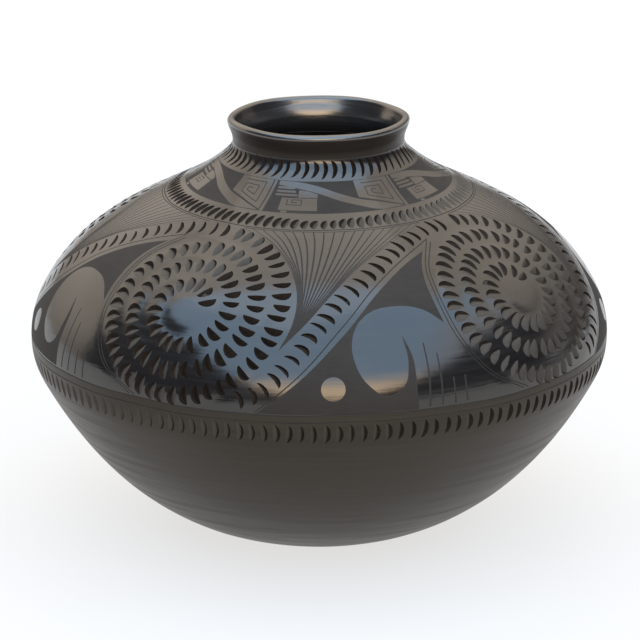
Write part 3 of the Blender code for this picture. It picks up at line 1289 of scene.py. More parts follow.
@dataclass
class Piece:
    """A coil of the wall as its own closed body."""

    name: str
    wall: Wall
    slot: str
    sharp_angle: float = 48.0
    sharp_rim_angle: float = 24.0

    @property
    def seams(self) -> tuple[float, float]:
        """Lower and upper seam of the piece."""
        return self.wall.outline.seams()[self.name]

    def inner_end(self, seam: float, side: int) -> float:
        """Where the slanted joint at a seam reaches the inner face, a gap's half on this side."""
        return seam - self.wall.lap + side * self.wall.joint_gap / 2

    def place(self, bm: bmesh.types.BMesh) -> None:
        """Set each vertex where its angle, distance and depth put it.

        Args:
            bm: The piece's mesh. A distance below 0 marks a vertex that stays.
        """
        layers = bm.verts.layers.float
        turn_layer, along_layer, depth_layer = layers["turn"], layers["along"], layers["depth"]
        moving = [vert for vert in bm.verts if vert[along_layer] >= 0.0]
        spots = np.array([(vert[turn_layer], vert[along_layer], vert[depth_layer]) for vert in moving])
        for vert, point in zip(moving, self.wall.points(*spots.T)):
            vert.co = point

    def crease(self, bm: bmesh.types.BMesh) -> None:
        """Keep the edge between flush skin and anything else sharp, and steep turns too.

        Args:
            bm: The piece's mesh.
        """
        flush = [ground.value for ground in FLUSH]
        for edge in bm.edges:
            faces = edge.link_faces
            if len(faces) != 2:
                continue
            skin = [face.material_index in flush for face in faces]
            limit = radians(self.sharp_angle if skin[0] == skin[1] else self.sharp_rim_angle)
            edge.smooth = all(skin) or edge.calc_face_angle(0.0) < limit

    def body(self, bm: bmesh.types.BMesh, dressing: "Dressing") -> bpy.types.Object:
        """Make the object, with true normals on its skin and only the materials it uses.

        Args:
            bm: The piece's mesh, which is freed.
            dressing: The pot's finishes.

        Returns:
            The object, in its place on the frame.
        """
        for face in bm.faces:
            face.smooth = True
        self.crease(bm)
        mesh = bpy.data.meshes.new(self.name + "_dressed")
        bm.to_mesh(mesh)
        bm.free()
        self.set_normals(mesh)
        piece = bpy.data.objects.new(self.name + "_dressed", mesh)
        bpy.context.scene.collection.objects.link(piece)
        dressing.dress(mesh)
        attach(piece, "root")
        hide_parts(self.name)
        LOG.info("%s: %d faces", self.name, len(mesh.polygons))
        return piece

    def set_normals(self, mesh: bpy.types.Mesh) -> None:
        """Give the skin the wall's own normals, and leave the rest to the faces.

        Args:
            mesh: The piece's mesh, which loses its working layers.
        """
        values = {}
        for name in ("turn", "along"):
            values[name] = np.empty(len(mesh.vertices), np.float32)
            mesh.attributes[name].data.foreach_get("value", values[name])
        normals = self.wall.normals(values["turn"], np.maximum(values["along"], 0.0))
        corners = np.empty(len(mesh.loops), np.int32)
        mesh.loops.foreach_get("vertex_index", corners)
        sizes = np.empty(len(mesh.polygons), np.int32)
        mesh.polygons.foreach_get("loop_total", sizes)
        skin = np.repeat(np.isin(face_grounds(mesh), [ground.value for ground in FLUSH]), sizes)
        custom = np.where(skin[:, None], normals[corners], 0.0)
        mesh.normals_split_custom_set(custom.tolist())
        for name in ("turn", "along", "depth"):
            mesh.attributes.remove(mesh.attributes[name])


def face_grounds(mesh: bpy.types.Mesh) -> np.ndarray:
    """The number of each face's ground or material slot.

    Args:
        mesh: A piece's mesh.

    Returns:
        One number for each face.
    """
    grounds = np.empty(len(mesh.polygons), np.int32)
    mesh.polygons.foreach_get("material_index", grounds)
    return grounds


@dataclass
class TurnedCoil(Piece):
    """A plain coil: its section is turned about the axis."""

    ground: Ground = Ground.SATIN
    around: int = 360
    row_height: float = 4.0

    def run(self, start: float, end: float, depth: float) -> list[tuple[float, float]]:
        """Evenly spaced places along the wall at one depth."""
        count = max(2, ceil(abs(end - start) / self.row_height))
        return [(start + (end - start) * i / count, depth) for i in range(count + 1)]

    def section(self) -> list[tuple[float, float]]:
        """The closed section of the coil.

        Returns:
            Distance and depth of each of its points, skin first.
        """
        lower, upper = self.seams
        inside = self.run(self.inner_end(upper, -1), self.inner_end(lower, 1), self.wall.thickness)
        return self.run(lower, upper, 0.0) + inside

    def build(self, dressing: "Dressing") -> bpy.types.Object:
        """Turn the section, close it, and dress the piece.

        Args:
            dressing: The pot's finishes.

        Returns:
            The finished object.
        """
        bm = bmesh.new()
        layers = {name: bm.verts.layers.float.new(name) for name in ("turn", "along", "depth")}
        verts = []
        for along, depth in self.section():
            radius, height = self.wall.outline.section(np.array([along]), np.array([depth]))
            vert = bm.verts.new((0.0, -float(radius[0]) * MM, float(height[0]) * MM))
            vert[layers["along"]] = along
            vert[layers["depth"]] = depth
            verts.append(vert)
        for pair in zip(verts, verts[1:]):
            bm.edges.new(pair)
        self.close_section(bm, verts, layers)
        bmesh.ops.spin(
            bm, geom=bm.verts[:] + bm.edges[:], cent=(0.0, 0.0, 0.0), axis=(0.0, 0.0, 1.0),
            dvec=(0.0, 0.0, 0.0), angle=FULL_TURN, steps=self.around, use_merge=True, use_duplicate=False,
        )
        bmesh.ops.remove_doubles(bm, verts=bm.verts, dist=TINY)
        for vert in bm.verts:
            vert[layers["turn"]] = atan2(vert.co.x, -vert.co.y)
        bmesh.ops.recalc_face_normals(bm, faces=bm.faces)
        self.lay_grounds(bm)
        self.place(bm)
        return self.body(bm, dressing)

    def close_section(self, bm: bmesh.types.BMesh, verts: list, layers: dict) -> None:
        """Join the ends of the section into a ring."""
        bm.edges.new((verts[-1], verts[0]))

    def lay_grounds(self, bm: bmesh.types.BMesh) -> None:
        """Give each face its ground, by where its corners lie.

        Args:
            bm: The piece's mesh.
        """
        depth_layer, along_layer = bm.verts.layers.float["depth"], bm.verts.layers.float["along"]
        for face in bm.faces:
            depths = [vert[depth_layer] for vert in face.verts]
            alongs = [vert[along_layer] for vert in face.verts]
            face.material_index = self.ground_at(min(depths), max(depths), sum(alongs) / len(alongs)).value

    def ground_at(self, shallow: float, deep: float, along: float) -> Ground:
        """The ground of a face that spans two depths: the coil's own on its skin, else raw clay."""
        return self.ground if deep < NEAR else Ground.RAW


@dataclass
class BaseDish(TurnedCoil):
    """The floor of the pot: a flat foot with a turned-up rim."""

    foot_rings: tuple[float, ...] = (0.66, 0.33, 0.0)

    def section(self) -> list[tuple[float, float]]:
        """The section runs from the edge of the foot out, over the joint and back inside."""
        upper = self.seams[1]
        return self.run(0.0, upper, 0.0) + self.run(self.inner_end(upper, -1), 0.0, self.wall.thickness)

    def close_section(self, bm: bmesh.types.BMesh, verts: list, layers: dict) -> None:
        """Run the foot and the floor in to the axis.

        Args:
            bm: The piece's mesh.
            verts: Points of the section, from the foot's edge round to the floor's.
            layers: The mesh's working layers, by name.
        """
        thickness = self.wall.thickness
        for start, depth in ((verts[0], thickness / 2), (verts[-1], thickness)):
            last = start
            for share in self.foot_rings:
                vert = bm.verts.new((0.0, start.co.y * share, start.co.z))
                vert[layers["along"]] = -1.0
                vert[layers["depth"]] = depth
                bm.edges.new((last, vert))
                last = vert

    def ground_at(self, shallow: float, deep: float, along: float) -> Ground:
        """The outer skin is satin, and the foot and the inside are raw clay."""
        return self.ground if deep < self.wall.thickness - NEAR and along > 1.0 else Ground.RAW


@dataclass
class LipCoil(TurnedCoil):
    """The lip: a short flaring collar with a rolled edge."""

    ground: Ground = Ground.NECK
    around: int = 180
    row_height: float = 1.2
    nose_steps: int = 12
    joint_reach: float = 0.5

    def section(self) -> list[tuple[float, float]]:
        """The section runs up the skin, round the rolled edge and down the inside.

        Returns:
            Distance and depth of each of its points.
        """
        lower, upper = self.seams
        thickness = self.wall.thickness
        turns = [pi * i / self.nose_steps for i in range(1, self.nose_steps)]
        nose = [(upper + thickness / 2 * sin(turn), thickness / 2 * (1.0 - cos(turn))) for turn in turns]
        return self.run(lower, upper, 0.0) + nose + self.run(upper, self.inner_end(lower, 1), thickness)

    def ground_at(self, shallow: float, deep: float, along: float) -> Ground:
        """The ground of a face: the neck's on the skin, glossy on the roll and the inside.

        Args:
            shallow: Its least depth.
            deep: Its greatest depth.
            along: Distance along the wall of its middle.

        Returns:
            The ground, raw clay in the joint.
        """
        if deep < NEAR:
            return self.ground
        if along > self.seams[0] + self.joint_reach or shallow > self.wall.thickness - NEAR:
            return Ground.INSIDE
        return Ground.RAW


@dataclass
class CarvedCoil(Piece):
    """A coil whose skin is a stretch of the plan."""

    inner_ground: Ground = Ground.RAW
    inner_rows: int = 9
    weld: float = 1e-5

    def build(self, sheet: Sheet, dressing: "Dressing") -> bpy.types.Object:
        """Take the coil's stretch of the plan, give it an inside, and dress it.

        Args:
            sheet: The plan cut into triangles.
            dressing: The pot's finishes.

        Returns:
            The finished object.
        """
        bm = self.skin(sheet)
        lower, upper = self.seams
        rims = [edge for edge in bm.edges if edge.is_boundary]
        along_layer = bm.verts.layers.float["along"]
        middle = (lower + upper) / 2
        lower_rim = [edge for edge in rims if edge.verts[0][along_layer] < middle]
        upper_rim = [edge for edge in rims if edge.verts[0][along_layer] > middle]
        inner = self.turn_in(bm, lower_rim, self.inner_end(lower, 1))
        inner += self.turn_in(bm, upper_rim, self.inner_end(upper, -1))
        self.line_inside(bm, inner)
        self.place(bm)
        bmesh.ops.recalc_face_normals(bm, faces=bm.faces)
        return self.body(bm, dressing)

    def skin(self, sheet: Sheet) -> bmesh.types.BMesh:
        """The coil's stretch of the plan, wrapped round and joined behind.

        Args:
            sheet: The plan cut into triangles.

        Returns:
            An open mesh with the working layers of its vertices.
        """
        lower, upper = self.seams
        middles = sheet.along[sheet.triangles].mean(axis=1)
        mine = (middles > lower) & (middles < upper)
        used, numbers = np.unique(sheet.triangles[mine], return_inverse=True)
        turn, along, depth = sheet.turn[used], sheet.along[used], sheet.depth[used]
        mesh = bpy.data.meshes.new("skin")
        mesh.from_pydata(self.wall.points(turn, along, depth).tolist(), [], numbers.reshape(-1, 3).tolist())
        mesh.polygons.foreach_set("material_index", sheet.grounds[mine].astype(np.int32))
        for name, values in (("turn", turn), ("along", along), ("depth", depth)):
            mesh.attributes.new(name, "FLOAT", "POINT").data.foreach_set("value", values.astype(np.float32))
        bm = bmesh.new()
        bm.from_mesh(mesh)
        bpy.data.meshes.remove(mesh)
        turn_layer = bm.verts.layers.float["turn"]
        behind = [vert for vert in bm.verts if abs(vert[turn_layer]) > pi - self.weld]
        bmesh.ops.remove_doubles(bm, verts=behind, dist=self.weld)
        return bm

    def turn_in(self, bm: bmesh.types.BMesh, rim: list, along: float) -> list:
        """Run a rim in along its slanted joint to the inner face.

        Args:
            bm: The piece's mesh.
            rim: Edges of the rim.
            along: Distance along the wall at which the joint reaches the inner face.

        Returns:
            Edges of the new rim.
        """
        made = bmesh.ops.extrude_edge_only(bm, edges=rim)["geom"]
        layers = bm.verts.layers.float
        new = {item for item in made if isinstance(item, bmesh.types.BMVert)}
        for vert in new:
            vert[layers["along"]] = along
            vert[layers["depth"]] = self.wall.thickness
        for item in made:
            if isinstance(item, bmesh.types.BMFace):
                item.material_index = Ground.RAW.value
        self.place(bm)
        return [item for item in made if isinstance(item, bmesh.types.BMEdge) and set(item.verts) <= new]

    def line_inside(self, bm: bmesh.types.BMesh, rims: list) -> None:
        """Bridge the two inner rims with a wall that follows the outline.

        Args:
            bm: The piece's mesh.
            rims: Edges of both inner rims.
        """
        faces = bmesh.ops.bridge_loops(bm, edges=rims)["faces"]
        layers = bm.verts.layers.float
        for face in faces:
            face.material_index = self.inner_ground.value
        ends = [vert[layers["along"]] for edge in rims for vert in edge.verts]
        bridging = {edge for face in faces for edge in face.edges} - set(rims)
        cut = bmesh.ops.subdivide_edges(bm, edges=list(bridging), cuts=self.inner_rows, use_grid_fill=False)
        for vert in {item for item in cut["geom_inner"] if isinstance(item, bmesh.types.BMVert)}:
            vert[layers["turn"]] = atan2(vert.co.x, -vert.co.y)
            vert[layers["along"]] = min(max(vert[layers["along"]], min(ends)), max(ends))
            vert[layers["depth"]] = self.wall.thickness


@dataclass(frozen=True)
class Wire:
    """A value on a shader's wire. Sums on it add the Math nodes that work them out."""

    shader: "Shader"
    socket: bpy.types.NodeSocket

    def math(self, operation: str, first: "Wire | float", second: "Wire | float") -> "Wire":
        """One Math node on two values."""
        return self.shader.add("ShaderNodeMath", {"operation": operation}, {0: first, 1: second})

    def __add__(self, other: "Wire | float") -> "Wire":
        """This and other."""
        return self.math("ADD", self, other)

    def __radd__(self, other: float) -> "Wire":
        """Other and this."""
        return self.math("ADD", other, self)

    def __sub__(self, other: "Wire | float") -> "Wire":
        """This less other."""
        return self.math("SUBTRACT", self, other)

    def __rsub__(self, other: float) -> "Wire":
        """Other less this."""
        return self.math("SUBTRACT", other, self)

    def __mul__(self, other: "Wire | float") -> "Wire":
        """This times other."""
        return self.math("MULTIPLY", self, other)

    def __rmul__(self, other: float) -> "Wire":
        """Other times this."""
        return self.math("MULTIPLY", other, self)


@dataclass
class Shader:
    """The nodes of one material or of the world."""

    tree: bpy.types.NodeTree

    @classmethod
    def blank(cls, owner: bpy.types.Material | bpy.types.World) -> "Shader":
        """Start the nodes of a material or a world afresh.

        Args:
            owner: The material or the world.

        Returns:
            Its shader, without nodes.
        """
        owner.use_nodes = True
        owner.node_tree.nodes.clear()
        return cls(owner.node_tree)

    def add(
        self, kind: str, settings: dict | None = None, values: dict | None = None, output: int | str = 0,
    ) -> Wire:
        """Add a node.

        Args:
            kind: Blender's name for the type of node.
            settings: Settings of the node, set first; stops gives a ramp's stops.
            values: A number, a colour or a wire for each socket, by its name or number.
            output: Name or number of the output to give.

        Returns:
            The wire from that output.
        """
        node = self.tree.nodes.new(kind)
        for name, value in (settings or {}).items():
            if name == "stops":
                self.set_stops(node.color_ramp, value)
            else:
                setattr(node, name, value)
        for name, value in (values or {}).items():
            if isinstance(value, Wire):
                self.tree.links.new(value.socket, node.inputs[name])
            else:
                node.inputs[name].default_value = value
        return Wire(self, node.outputs[output])

    def show(self, surface: Wire, kind: str = "ShaderNodeOutputMaterial") -> None:
        """Link a finished surface to a new output node."""
        self.tree.links.new(surface.socket, self.tree.nodes.new(kind).inputs["Surface"])

    @staticmethod
    def set_stops(ramp: bpy.types.ColorRamp, stops: list[tuple[float, float]]) -> None:
        """Set a ramp's grey stops.

        Args:
            ramp: The ramp.
            stops: Place and lightness of each stop.
        """
        while len(ramp.elements) < len(stops):
            ramp.elements.new(1.0)
        for element, (position, light) in zip(ramp.elements, stops):
            element.position = position
            element.color = (light, light, light, 1.0)

    def noise(self, scale: Triple, detail: float = 4.0, roughness: float = 0.55) -> Wire:
        """Noise on the object's own coordinates.

        Args:
            scale: Its scale in each direction.
            detail: How many finer layers it has.
            roughness: How strong the finer layers are.

        Returns:
            Its value, from 0 to 1.
        """
        spot = self.add("ShaderNodeTexCoord", output="Object")
        stretched = self.add("ShaderNodeMapping", values={"Vector": spot, "Scale": scale}, output="Vector")
        values = {"Vector": stretched, "Scale": 1.0, "Detail": detail, "Roughness": roughness}
        return self.add("ShaderNodeTexNoise", values=values, output=0)

    def ramp(self, value: Wire, *stops: tuple[float, float]) -> Wire:
        """A value through a ramp of grey stops."""
        return self.add("ShaderNodeValToRGB", {"stops": list(stops)}, {"Fac": value}, output="Color")

    def mix(self, first: tuple | Wire, second: tuple | Wire, share: Wire | float) -> Wire:
        """Two colours mixed by a share."""
        return self.add("ShaderNodeMix", {"data_type": "RGBA"}, {0: share, 6: first, 7: second}, output=2)

    def bump(self, height: Wire, strength: float, distance: float, below: Wire | None = None) -> Wire:
        """A bump from a height.

        Args:
            height: The height, from 0 to 1.
            strength: How strongly it shows.
            distance: Depth of a full height in metres.
            below: A bump that this one lies on, if any.

        Returns:
            The normal.
        """
        values: dict = {"Height": height, "Strength": strength, "Distance": distance}
        if below is not None:
            values["Normal"] = below
        return self.add("ShaderNodeBump", values=values, output="Normal")


def opaque(colour: Colour) -> tuple[float, float, float, float]:
    """A colour with full alpha."""
    return (*colour, 1.0)


@dataclass(frozen=True)
class Finish:
    """A fired clay surface: colours between which it drifts, gloss and light bend."""

    name: str
    dark: Colour
    light: Colour
    roughness: tuple[float, float]
    ior: float = 1.5
    specular: float = 0.5
    tint: Colour = (1.0, 0.95, 0.88)

    def material(self) -> bpy.types.Material:
        """Build the finish.

        Returns:
            Its material.
        """
        material = bpy.data.materials.new(self.name)
        shader = Shader.blank(material)
        values = {"IOR": self.ior, "Specular IOR Level": self.specular, "Specular Tint": opaque(self.tint)}
        values.update(self.surface(shader))
        shader.show(shader.add("ShaderNodeBsdfPrincipled", values=values, output="BSDF"))
        return material

    def surface(self, shader: Shader) -> dict[str, Wire]:
        """Colour, roughness and normal of the surface."""
        raise NotImplementedError

    def varied(self, shader: Shader, shade: Wire, dullness: Wire, normal: Wire) -> dict[str, Wire]:
        """What changes over the surface.

        Args:
            shader: The material's shader.
            shade: Share of the light colour.
            dullness: Share of the way from the least roughness to the most.
            normal: The relief.

        Returns:
            A wire for each socket, by its name.
        """
        low, high = self.roughness
        return {
            "Base Color": shader.mix(opaque(self.dark), opaque(self.light), shade),
            "Roughness": low + (high - low) * dullness,
            "Normal": normal,
        }


@dataclass(frozen=True)
class Burnished(Finish):
    """Clay rubbed with a stone: long level strokes, a little cloudiness and fine scratches."""

    stroke_depth: float = 0.00005
    cloud: float = 0.5
    scratch: float = 0.05

    def surface(self, shader: Shader) -> dict[str, Wire]:
        """Strokes lie round the pot, and dull it slightly where they miss.

        Args:
            shader: The material's shader.

        Returns:
            A wire for each socket that varies, by its name.
        """
        strokes = shader.noise((14.0, 14.0, 330.0), 3.0)
        fine = shader.noise((55.0, 55.0, 1500.0), 2.0)
        clouds = shader.ramp(shader.noise((16.0, 16.0, 22.0), 5.0, 0.6), (0.3, 0.0), (0.75, 1.0))
        lumps = shader.noise((75.0, 75.0, 105.0), 2.0)
        scratches = shader.ramp(shader.noise((30.0, 30.0, 2600.0), 1.0), (0.62, 0.0), (0.72, 1.0))
        missed = shader.ramp(strokes, (0.42, 0.0), (0.68, 1.0))
        shade = clouds * self.cloud + missed * (1.0 - self.cloud)
        normal = shader.bump(lumps, 0.3, self.stroke_depth * 6.0)
        normal = shader.bump(strokes, 0.35, self.stroke_depth * 4.0, normal)
        normal = shader.bump(fine, 0.2, self.stroke_depth, normal)
        values = self.varied(shader, shade, missed * 0.55 + fine * 0.25 + shade * 0.2, normal)
        values["Roughness"] += scratches * self.scratch
        return values


@dataclass(frozen=True)
class Slipped(Finish):
    """Matte slip brushed on the polish: fine grain, brush drag and small pits."""

    grain_depth: float = 0.00006

    def surface(self, shader: Shader) -> dict[str, Wire]:
        """Grain and drag set both colour and relief.

        Args:
            shader: The material's shader.

        Returns:
            A wire for each socket that varies, by its name.
        """
        grain = shader.noise((2200.0, 2200.0, 2200.0), 3.0, 0.7)
        drag = shader.noise((90.0, 90.0, 700.0), 3.0)
        clouds = shader.noise((30.0, 30.0, 30.0), 4.0)
        shade = shader.ramp(grain * 0.3 + drag * 0.3 + clouds * 0.4, (0.35, 0.0), (0.65, 1.0))
        normal = shader.bump(drag, 0.3, self.grain_depth, shader.bump(grain, 0.5, self.grain_depth))
        return self.varied(shader, shade, grain, normal)


@dataclass(frozen=True)
class Gouged(Finish):
    """Clay cut with a loop when leather hard: torn grain and tool drag."""

    tear_depth: float = 0.00016

    def surface(self, shader: Shader) -> dict[str, Wire]:
        """Torn grain is rougher and a little lighter.

        Args:
            shader: The material's shader.

        Returns:
            A wire for each socket that varies, by its name.
        """
        torn = shader.noise((900.0, 900.0, 900.0), 4.0, 0.65)
        drag = shader.noise((420.0, 420.0, 420.0), 2.0)
        shade = shader.ramp(torn * 0.6 + drag * 0.4, (0.35, 0.0), (0.66, 1.0))
        normal = shader.bump(drag, 0.35, self.tear_depth, shader.bump(torn, 0.45, self.tear_depth))
        return self.varied(shader, shade, torn, normal)


@dataclass
class Dressing:
    """The pot's finishes, one for each ground."""

    finishes: dict[Ground, Finish]
    materials: dict[Ground, bpy.types.Material] = field(default_factory=dict)

    def dress(self, mesh: bpy.types.Mesh) -> None:
        """Give a mesh the materials of the grounds on it, and no others.

        Args:
            mesh: The mesh, whose faces are numbered by ground.
        """
        grounds = face_grounds(mesh)
        used = sorted(set(grounds.tolist()))
        for value in used:
            ground = Ground(value)
            if ground not in self.materials:
                self.materials[ground] = self.finishes[ground].material()
            mesh.materials.append(self.materials[ground])
        slots = np.searchsorted(np.array(used), grounds).astype(np.int32)
        mesh.polygons.foreach_set("material_index", slots)
        mesh.update()


def pot_finishes() -> dict[Ground, Finish]:
    """The finishes of the fired pot.

    Returns:
        The finish of each ground.
    """
    slip = Slipped("matte_slip", (0.024, 0.0195, 0.0165), (0.038, 0.032, 0.027), (0.62, 0.8), specular=0.2)
    return {
        Ground.SATIN: Burnished(
            "satin_black_clay", (0.018, 0.0145, 0.0105), (0.034, 0.028, 0.0205), (0.34, 0.5),
            ior=1.38, specular=0.52, tint=(1.0, 0.88, 0.72),
        ),
        Ground.POLISHED: Burnished(
            "burnished_black_clay", (0.007, 0.007, 0.0075), (0.018, 0.0165, 0.0165), (0.12, 0.24), ior=1.65,
        ),
        Ground.SLIP: slip,
        Ground.CUT: Gouged(
            "gouged_clay", (0.036, 0.031, 0.026), (0.054, 0.047, 0.039), (0.42, 0.56),
            specular=0.3, tint=(1.0, 0.82, 0.62), tear_depth=0.00006,
        ),
        # Rough, matte torn clay whose colour is darkened well below the cut clay's: painted shade for the
        # steep walls and the deep cuts.
        Ground.STEEP: Gouged(
            "torn_cut_with_painted_shade", (0.009, 0.006, 0.0045), (0.02, 0.015, 0.0115), (0.6, 0.8),
            specular=0.12, tint=(1.0, 0.8, 0.62),
        ),
        Ground.NECK: Burnished(
            "smoked_neck_clay", (0.015, 0.0115, 0.009), (0.028, 0.022, 0.0175), (0.28, 0.42),
            ior=1.32, specular=0.4, tint=(1.0, 0.88, 0.74),
        ),
        Ground.GROOVE: replace(slip, name="slip_in_cut_lines", dark=(0.02, 0.016, 0.013)),
        Ground.INSIDE: Burnished(
            "burnished_inside", (0.012, 0.012, 0.013), (0.026, 0.024, 0.023), (0.16, 0.3),
            ior=2.0, stroke_depth=0.00008,
        ),
        Ground.RAW: Gouged("raw_scraped_clay", (0.03, 0.026, 0.023), (0.06, 0.05, 0.045), (0.6, 0.78)),
    }


@dataclass
class Studio:
    """A pale floor, a soft dome and a soft lamp, and the camera of the photograph."""

    aim_height: float = 0.1155
    distance: float = 2.2265
    elevation: float = 17.09
    roll: float = 0.24
    lens: float = 225.0
    sensor: float = 36.0
    frame_pixels: int = 640
    aim_pixel: tuple[float, float] = (319.3, 321.9)
    floor_radius: float = 14.0
    floor_glow: float = 0.7
    dome_level: float = 3.2
    lamp_place: Triple = (-0.2, 0.3, 2.4)
    lamp_aim: Triple = (0.0, 0.0, 0.1)
    lamp_size: float = 2.4
    lamp_power: float = 14.0
    lamp_colour: Colour = (1.0, 0.96, 0.9)

    def camera(self) -> None:
        """Set the camera where the photograph was taken from."""
        data = bpy.data.cameras.new("photograph_camera")
        data.lens = self.lens
        data.sensor_width = self.sensor
        half = self.frame_pixels / 2
        data.shift_x = (half - self.aim_pixel[0]) / self.frame_pixels
        data.shift_y = (self.aim_pixel[1] - half) / self.frame_pixels
        data.clip_start = 0.05
        data.clip_end = 100.0
        camera = bpy.data.objects.new("photograph_camera", data)
        bpy.context.scene.collection.objects.link(camera)
        tilt = radians(self.elevation)
        back = Vector((0.0, -cos(tilt), sin(tilt)))
        spot = Vector((0.0, 0.0, self.aim_height)) + back * self.distance
        turn = (-back).to_track_quat("-Z", "Y").to_matrix().to_4x4()
        roll = Matrix.Rotation(radians(-self.roll), 4, "Z")
        camera.matrix_world = Matrix.Translation(spot) @ turn @ roll
        bpy.context.scene.camera = camera

    def floor(self) -> None:
        """Lay a round pale floor that shows white and keeps the pot's soft shadow."""
        bm = bmesh.new()
        bmesh.ops.create_circle(bm, cap_ends=True, radius=self.floor_radius, segments=96)
        mesh = bpy.data.meshes.new("studio_floor")
        bm.to_mesh(mesh)
        bm.free()
        floor = bpy.data.objects.new("studio_floor", mesh)
        bpy.context.scene.collection.objects.link(floor)
        mesh.materials.append(self.floor_material())

    def floor_material(self) -> bpy.types.Material:
        """Pale paper: it shows near white, and gives little light back to the pot.

        Returns:
            The material.
        """
        material = bpy.data.materials.new("pale_paper")
        shader = Shader.blank(material)
        seen = shader.add("ShaderNodeLightPath", output="Is Camera Ray")
        for ray in ("Is Glossy Ray", "Is Transmission Ray"):
            seen = seen + shader.add("ShaderNodeLightPath", output=ray)
        dull = shader.add("ShaderNodeBsdfDiffuse", values={"Color": opaque((0.3, 0.3, 0.3))})
        pale = shader.add("ShaderNodeBsdfDiffuse", values={"Color": opaque((0.2, 0.19, 0.175))})
        white = opaque((1.0, 1.0, 1.0))
        glow = shader.add("ShaderNodeEmission", values={"Color": white, "Strength": self.floor_glow})
        shown = shader.add("ShaderNodeAddShader", values={0: pale, 1: glow})
        shader.show(shader.add("ShaderNodeMixShader", values={0: seen, 1: dull, 2: shown}))
        return material

    def dome(self) -> None:
        """Light the room softly: warm low in front, cool above it, and plain behind."""
        world = bpy.data.worlds.new("soft_room")
        shader = Shader.blank(world)
        way = {"Vector": shader.add("ShaderNodeTexCoord", output="Generated")}
        across, back, up = (shader.add("ShaderNodeSeparateXYZ", values=way, output=i) for i in range(3))
        black = opaque((0.02, 0.018, 0.015))
        warm_band = opaque((2.0, 1.56, 1.08))
        cool_front = opaque((0.48, 0.7, 1.0))
        plain_side = opaque((0.6, 0.52, 0.43))
        plain_back = opaque((0.62, 0.55, 0.475))
        aside = across - 0.08
        clear = shader.ramp(up - aside * aside, (0.03, 0.0), (0.15, 1.0))
        front = shader.mix(warm_band, cool_front, shader.ramp(up, (0.28, 0.0), (0.5, 1.0)))
        front = shader.mix(front, plain_side, shader.ramp(across, (0.55, 0.0), (0.9, 1.0)))
        ahead = shader.mix(black, front, clear)
        levels = ((0.0, 0.08), (0.3, 0.5), (0.45, 0.72), (0.75, 0.85), (1.0, 0.62))
        behind = shader.mix(black, plain_back, shader.ramp(up - across * 0.2, *levels))
        share = shader.ramp(back - across * across * 0.25 + 0.5, (0.5, 0.0), (0.6, 1.0))
        values = {"Color": shader.mix(ahead, behind, share), "Strength": self.dome_level}
        shader.show(shader.add("ShaderNodeBackground", values=values), "ShaderNodeOutputWorld")
        bpy.context.scene.world = world

    def lamp(self) -> None:
        """Hang a soft lamp overhead."""
        data = bpy.data.lights.new("overhead_softbox", "AREA")
        data.shape = "RECTANGLE"
        data.size = data.size_y = self.lamp_size
        data.energy = self.lamp_power
        data.color = self.lamp_colour
        lamp = bpy.data.objects.new("overhead_softbox", data)
        bpy.context.scene.collection.objects.link(lamp)
        lamp.location = self.lamp_place
        way = Vector(self.lamp_aim) - Vector(self.lamp_place)
        lamp.rotation_euler = way.to_track_quat("-Z", "Y").to_euler()

    def build(self) -> None:
        """Set up the whole studio."""
        self.camera()
        self.floor()
        self.dome()
        self.lamp()
        bpy.context.scene.view_settings.view_transform = "Standard"


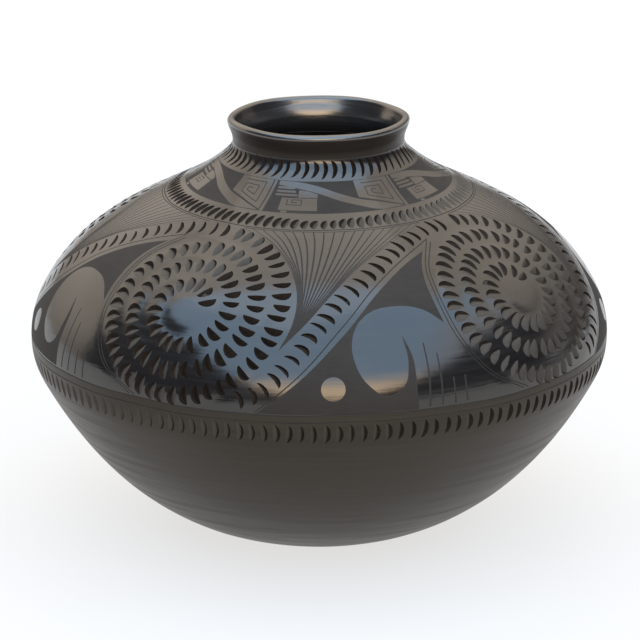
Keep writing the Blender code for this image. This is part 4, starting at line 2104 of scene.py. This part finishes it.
@dataclass
class Olla:
    """The whole pot: its wall, its ornament and its eight pieces."""

    first_medallion: float = -31.0
    shoulder: Repeat = Repeat(4, 81.5)
    frieze: Repeat = Repeat(6, 66.0)
    ring_groove_width: float = 0.6
    first_seed: int = 20
    carved: tuple[str, ...] = ("belly_coil", "lower_shoulder_coil", "upper_shoulder_coil", "neck_coil")
    burnished_inside: tuple[str, ...] = ("upper_shoulder_coil", "neck_coil")
    wall: Wall = field(init=False)
    dressing: Dressing = field(init=False)

    def __post_init__(self) -> None:
        """Take the belly's width from the frame, and lay out the wall and the finishes."""
        low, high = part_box("belly_coil")
        outline = Outline(belly_radius=round((high.x - low.x) / 2 / MM, 2))
        angles = [self.shoulder.moved(self.first_medallion, unit) for unit in range(self.shoulder.count)]
        self.wall = Wall(outline, [Chart(outline, angle) for angle in angles])
        self.dressing = Dressing(pot_finishes())

    @staticmethod
    def draw_notch_bands(plan: Plan) -> None:
        """Cut the bands of notches below the field, round the shoulder and on the collar.

        Args:
            plan: The plan that they are drawn on.
        """
        lower = Gouge(front=3.2, back=0.3, depth=1.3, taper=0.0, wall=1.9)
        shoulder = Gouge(front=3.3, back=1.0, depth=1.3, taper=0.0, wall=1.6)
        # The collar notches take the dark torn finish all over: painted shade in the notches.
        collar = Gouge(front=3.4, back=-1.3, depth=1.5, taper=0.25, wall=0.9, ground=Ground.STEEP)
        NotchBand(plan, *BANDS.lower_notches, count=152, seed=2, cut=lower).draw()
        NotchBand(
            plan, *BANDS.shoulder_notches, count=100, seed=3, cut=shoulder, heading=166.0, dip=2.8,
        ).draw()
        NotchBand(plan, *BANDS.collar_notches, count=60, seed=4, cut=collar, heading=-6.0).draw()

    def ornament(self, seams: list[float]) -> Sheet:
        """Draw the whole ornament and cut the plan out.

        Args:
            seams: The seams that it is cut along, lowest first.

        Returns:
            The plan in triangles.
        """
        plan = Plan(self.wall)
        plan.ring(seams[0], TurnedCoil.around)
        plan.ring(seams[-1], LipCoil.around)
        for along in (*seams[1:-1], BANDS.frieze_low, BANDS.frieze_high, BANDS.neck_low):
            plan.ring(along)
        for along in (BANDS.groove_low, BANDS.groove_high, BANDS.field_groove):
            plan.ring_groove(along, self.ring_groove_width)
        for unit in range(self.frieze.count):
            FriezeUnit(plan, self.frieze, unit).draw()
        for unit, chart in enumerate(self.wall.charts):
            FieldUnit(plan, self.shoulder, unit, Hand(self.first_seed + unit), chart).draw()
        self.draw_notch_bands(plan)
        return plan.cut_out(seams)

    def build(self) -> None:
        """Make the eight pieces, from the foot up."""
        seams = self.wall.outline.seams()
        sheet = self.ornament([seams[name][0] for name in self.carved] + [seams[self.carved[-1]][1]])
        BaseDish("base_dish", self.wall, "unglazed_base").build(self.dressing)
        TurnedCoil("lower_bowl_coil", self.wall, "satin_black").build(self.dressing)
        TurnedCoil("upper_bowl_coil", self.wall, "satin_black").build(self.dressing)
        for name in self.carved:
            inner = Ground.INSIDE if name in self.burnished_inside else Ground.RAW
            CarvedCoil(name, self.wall, "burnished_black", inner_ground=inner).build(sheet, self.dressing)
        LipCoil("lip_coil", self.wall, "burnished_black").build(self.dressing)


def main() -> None:
    """Build the pot and the studio."""
    logging.basicConfig(level=logging.INFO, format="%(name)s: %(message)s")
    Olla().build()
    Studio().build()


if __name__ == "__main__":
    main()
